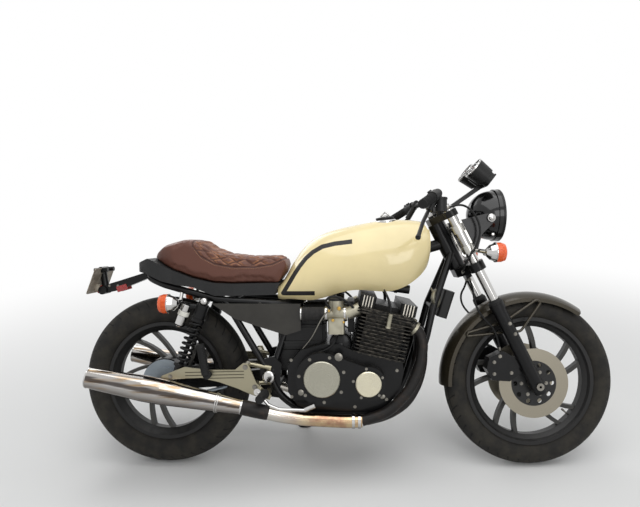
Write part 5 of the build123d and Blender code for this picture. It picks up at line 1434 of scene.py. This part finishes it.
class CAFERACER_OT_exhaust(bpy.types.Operator):
    """Adds the clamps, collars and end caps of the exhaust"""

    bl_idname = "caferacer.exhaust"
    bl_label = "Exhaust"

    def execute(self, context):
        bands, cones, ends = (bmesh.new() for _ in range(3))
        long = (SILENCER_TAIL - SILENCER_NOSE).length
        cone = [(-6, 24.6), (-6, 27.6), (4, 28.2), (52, 27.8), (88, 26.4), (96, 25.0), (96, 24.4)]
        end = [(60, 0), (60, 31.5), (57, 31.5), (57, 16), (40, 14), (40, 0)]
        for side, flip in each_side():
            nose = SILENCER_NOSE * flip
            way = (SILENCER_TAIL * flip - nose).normalized()
            for along, *sizes in ((90, 38.0, 5.0, 4.0), (97, 38.6, 5.0, 4.0), (long - 4, 38.4, 4.0, 5.0)):
                ring(bands, nose + way * along, way, *sizes, steps=64)
            ring(bands, nose + way * 2, way, 27.4, 3.0, 7.0, steps=56)
            pipe_way = Vector((400, side * 204, 266)) - nose
            lathe(cones, cone, nose, pipe_way, closed=True, steps=48)
            lathe(ends, [(long - short, radius) for short, radius in end], nose, way, steps=48)
            for x in (770, 748):
                ring(bands, (x, side * (173.5 - (785 - x) * 0.05), 218.4), AHEAD, 27.6, 3.6, 11.0)
        finished("exhaust_bands", bands, "root", "chrome")
        finished("pipe_sleeves", cones, "root", "header_black")
        finished("silencer_baffles", ends, "root", "header_black")
        return {"FINISHED"}


class CAFERACER_OT_rear_end(bpy.types.Operator):
    """Adds the shocks' bright fittings, the plate's border, the peg rubbers and the wheel valves"""

    bl_idname = "caferacer.rear_end"
    bl_label = "Rear end"

    def execute(self, context):
        bright, silver, dark, border = (bmesh.new() for _ in range(4))
        rise = (SHOCK_HEAD - SHOCK_FOOT).normalized()
        for side, flip in each_side():
            head, foot, way = SHOCK_HEAD * flip, SHOCK_FOOT * flip, rise * flip
            out = Vector((0, side, 0))
            lathe(bright, [(0, 0), (0, 15), (5, 14), (10, 9), (12, 0)], head + out * 12, out)
            lathe(bright, [(0, 0), (0, 12), (6, 12), (8, 8), (8, 0)], foot + out * 12, out, steps=6)
            tank = head - way * 118 - Vector((58, 2 * side, -18))
            ring(silver, tank + way * 4, way, 19.6, 2.0, 36.0)
            ring(silver, tank + way * 60, way, 19.6, 2.0, 26.0)
            ring(dark, tank + way * 41, way, 21.8, 3.0, 18.0)
            lathe(bright, [(0, 0), (0, 17), (4, 15), (6, 0)], tank, -way)
        finished("shock_nuts", bright, "root", "chrome")
        finished("reservoir_sleeves", silver, "root", "chrome")
        finished("reservoir_bands", dark, "root", "dial_white", "satin_silver")
        for body, axle, rim, turn in (
            ("front_wheel", FRONT_AXLE, 213.0, -0.72), ("rear_wheel", REAR_AXLE, 200.0, 1.1),
        ):
            valve = bmesh.new()
            way = Vector((math.cos(turn), 0, math.sin(turn)))
            bar(valve, axle + way * (rim + 4), axle + way * (rim - 22), 3.2)
            bar(valve, axle + way * (rim - 18), axle + way * (rim - 30), 4.0)
            finished(f"{body}_valve", valve, body, "steel")
        way = PLATE_WAY.normalized()
        slope = Vector((way.z, 0, -way.x))
        middle = NUMBER_PLATE + way * 3.2 + slope * 38
        for lift, y, other_lift, other_y in (
            (-48, -82, -48, 82), (48, -82, 48, 82), (-45, -85, 45, -85), (-45, 85, 45, 85),
        ):
            start = middle + slope * lift + Vector((0, y, 0))
            bar(border, start, middle + slope * other_lift + Vector((0, other_y, 0)), 1.6, steps=8)
        finished("plate_border", border, "root", "plate_blank")
        for side, name in ((1, "left"), (-1, "right")):
            start, way = (423, side * (PLATE_OUT + 24), 326), (-4, side * 96, 5)
            ribs(f"peg_ribs_{name}", start, way, 82.0, 14, 14.0, 1.5, "root", "rubber")
            start, way = (201, side * (PLATE_OUT + 16), 414), (-19, 0, 114)
            ribs(f"passenger_peg_ribs_{name}", start, way, 88.0, 15, 15.0, 1.5, "root", "rubber")
        return {"FINISHED"}


PLATE_NUTS = ((350, 422, 7.5), (385, 347, 7.5), (430, 318, 7.0), (63, 387, 6.5), (208, 396, 6.0))
SUMP_SCREWS = ((520, 300), (520, 440), (600, 262), (760, 262), (880, 290), (920, 400))


def circle(centre, radius, y, count, first=0.0):
    """Places at equal steps on a circle that faces the side."""
    for step in range(count):
        turn = math.tau * (step + first) / count
        yield centre.x + radius * math.cos(turn), y, centre.z + radius * math.sin(turn)


def screw_places():
    """Every screw by the body that carries it: its place, the way that it stands and its size."""
    root, steering, wheel = [], [], []
    for side in (-1, 1):
        out = (0, side, 0)
        for count, radius, centre, size in ((7, 86, CLUTCH, 4.6), (5, 57, CRANK, 4.0)):
            root += [(spot, out, size) for spot in circle(centre, radius, side * CASE_SIDE, count, 0.35)]
        for x, z, size in PLATE_NUTS:
            root.append(((x, side * PLATE_OUT, z), out, size))
        for x, z in SUMP_SCREWS:
            root.append(((x, side * SUMP_SIDE, z), out, 4.6))
        root += [((694, bore + side * 18, 683), UP, 3.0) for bore in (-118, 118)]
        wheel += [(spot, out, 5.2) for spot in circle(FRONT_AXLE, 48, side * DISC_SIDE, 6)]
        for u, w in ((-60, 150), (-30, 160), (-80, 110), (-20, 84)):
            steering.append((head_point(u, side * 99, w), out, 5.0))
        for w in (500, 728):
            steering.append((head_point(FORK_OFFSET + 26, side * (FORK_HALF - 10), w), HEAD_FRONT, 5.0))
        steering += [((x, side * 127, z), out, 5.0) for x, z in ((1337, 568), (1357, 529))]
        steering += [(head_point(u, side * 42, 804), HEAD_WAY, 4.6) for u in (12, 38)]
        steering.append((head_point(0, side * 30, 742.5), HEAD_WAY, 4.0))
        root.append(((-272.0, side * 40, 765), PLATE_WAY, 4.5))
        root += [((x, side * 20, 722), out, 3.6) for x in (-200, -235)]
    return {"root": root, "steering": steering, "front_wheel": wheel}


class CAFERACER_OT_screws(bpy.types.Operator):
    """Sets the hexagon screws and nuts on each body"""

    bl_idname = "caferacer.screws"
    bl_label = "Screws"

    def execute(self, context):
        for body, places in screw_places().items():
            turn = PLACE[body].to_3x3()
            line = bpy.data.meshes.new("screw_points")
            line.from_pydata([tuple(PLACE[body] @ Vector(spot)) for spot, _, _ in places], [], [])
            ways = [part for _, way, _ in places for part in (turn @ Vector(way)).normalized()]
            line.attributes.new("way", "FLOAT_VECTOR", "POINT").data.foreach_set("vector", ways)
            sizes = [size * MM for _, _, size in places]
            line.attributes.new("size", "FLOAT", "POINT").data.foreach_set("value", sizes)
            data = grown(body + "_screws", "screws", line, body, "steel")
            placed(body + "_screws", data, body, "steel", dressed=True)
        return {"FINISHED"}


CAMERA_FROM_AXLE = Vector((0.746830, -2.022197, 0.998994))
CAMERA_YAW = -0.0556507
CAMERA_PITCH = 0.2329158
CAMERA_ROLL = -0.0263449
CAMERA_LENS = 30.506
LIGHT_AIM = Vector((0, 0, 0.45))


class CAFERACER_OT_studio(bpy.types.Operator):
    """Lays the pale floor and sets the soft lights, the white surround and the camera"""

    bl_idname = "caferacer.studio"
    bl_label = "Studio"

    def execute(self, context):
        light = context.scene.cafe_racer.light
        self.floor(light.floor_reach)
        self.world(light.world)
        for name, spot, size, power in (
            ("overhead", (0.3, -0.6, 3.4), 3.4, light.overhead),
            ("fill", (1.6, -3.6, 2.2), 1.8, light.fill),
            ("behind", (-1.8, 2.6, 2.4), 2.2, light.fill * 0.9),
        ):
            lamp = bpy.data.lights.new(name, "AREA")
            lamp.shape = "SQUARE"
            lamp.size = size
            lamp.energy = power
            held = linked(name, lamp)
            held.location = spot
            held.rotation_euler = (LIGHT_AIM - Vector(spot)).to_track_quat("-Z", "Y").to_euler()
        self.camera(context.scene)
        context.scene.view_settings.view_transform = "Standard"
        return {"FINISHED"}

    def floor(self, reach):
        """A pale floor that turns white far from the machine, where the camera sees it."""
        mesh = bmesh.new()
        bmesh.ops.create_grid(mesh, x_segments=2, y_segments=2, size=reach)
        floor = linked("floor", meshed("floor", mesh))
        f = Finish("pale_floor", "root")
        f.set(base_color=(0.80, 0.80, 0.79), roughness=0.7, specular_ior_level=0.2)
        path = f.node("ShaderNodeLightPath").outputs
        seen = Wire(f, path["Is Camera Ray"]).most(Wire(f, path["Is Glossy Ray"]))
        away = ((f.x - 720.0) ** 2 + f.y ** 2).root()
        glow = f.made("ShaderNodeEmission", {"Color": (1, 1, 1, 1), "Strength": 1.0})
        share = seen * away.rise(1200.0, 3800.0)
        both = f.made("ShaderNodeMixShader", {0: share, 1: f.shader.outputs[0], 2: glow})
        f.give(f.output.inputs["Surface"], both)
        floor.data.materials.append(f.material)

    def world(self, strength):
        """White where it is seen or mirrored, and a soft light elsewhere."""
        world = bpy.data.worlds.new("studio")
        bpy.context.scene.world = world
        world.use_nodes = True
        n = Nodes()
        n.tree = world.node_tree
        n.tree.nodes.clear()
        path = n.node("ShaderNodeLightPath").outputs
        seen = path["Is Camera Ray"]
        for name in ("Is Glossy Ray", "Is Transmission Ray"):
            seen = n.made("ShaderNodeMath", {0: seen, 1: path[name]}, operation="MAXIMUM")
        soft = n.made("ShaderNodeBackground", {"Color": (0.96, 0.98, 1.0, 1), "Strength": strength})
        white = n.made("ShaderNodeBackground", {"Color": (1, 1, 1, 1), "Strength": 1.0})
        both = n.made("ShaderNodeMixShader", {0: seen, 1: soft, 2: white})
        n.node("ShaderNodeOutputWorld", {"Surface": both})

    def camera(self, scene):
        """The camera as it stood for the photograph."""
        data = bpy.data.cameras.new("camera")
        data.lens = CAMERA_LENS
        data.sensor_width = 36.0
        data.clip_start = 0.05
        yaw, pitch, roll = CAMERA_YAW, CAMERA_PITCH, CAMERA_ROLL
        ahead = Vector((math.sin(yaw) * math.cos(pitch), math.cos(yaw) * math.cos(pitch), -math.sin(pitch)))
        right = Vector((math.cos(yaw), -math.sin(yaw), 0))
        above = right.cross(ahead)
        turned_right = right * math.cos(roll) + above * math.sin(roll)
        turned_above = above * math.cos(roll) - right * math.sin(roll)
        turn = Matrix((turned_right, turned_above, -ahead)).transposed().to_4x4()
        camera = linked("camera", data)
        camera.matrix_world = Matrix.Translation(axle_spot + CAMERA_FROM_AXLE) @ turn
        scene.camera = camera


class CAFERACER_PT_panel(bpy.types.Panel):
    """Shows the cafe racer's settings, and a button for each of its steps."""

    bl_idname = "CAFERACER_PT_panel"
    bl_label = "Cafe racer"
    bl_space_type = "VIEW_3D"
    bl_region_type = "UI"
    bl_category = "Cafe racer"

    def draw(self, context):
        settings = context.scene.cafe_racer
        for group in (settings.paint, settings.seat, settings.light):
            box = self.layout.box()
            for key in group.__annotations__:
                box.prop(group, key)
        for step in STEPS:
            self.layout.operator(step.bl_idname)


STEPS = (
    CAFERACER_OT_finishes, CAFERACER_OT_seat, CAFERACER_OT_tank_fittings, CAFERACER_OT_lamps,
    CAFERACER_OT_gauges, CAFERACER_OT_controls, CAFERACER_OT_front_end, CAFERACER_OT_engine,
    CAFERACER_OT_exhaust, CAFERACER_OT_rear_end, CAFERACER_OT_screws, CAFERACER_OT_studio,
)
CLASSES = (PaintSettings, SeatSettings, LightSettings, CafeRacerSettings, *STEPS, CAFERACER_PT_panel)


def register():
    for kind in CLASSES:
        bpy.utils.register_class(kind)
    bpy.types.Scene.cafe_racer = PointerProperty(
        name="Cafe racer", description="Settings of the motorcycle", type=CafeRacerSettings
    )


def unregister():
    del bpy.types.Scene.cafe_racer
    for kind in reversed(CLASSES):
        bpy.utils.unregister_class(kind)


def main():
    register()
    sheets.update(screws=screw_sheet(), ribs=rib_sheet(), stitches=stitch_sheet())
    for step in STEPS:
        group, name = step.bl_idname.split(".")
        getattr(getattr(bpy.ops, group), name)()


if __name__ == "__main__":
    main()
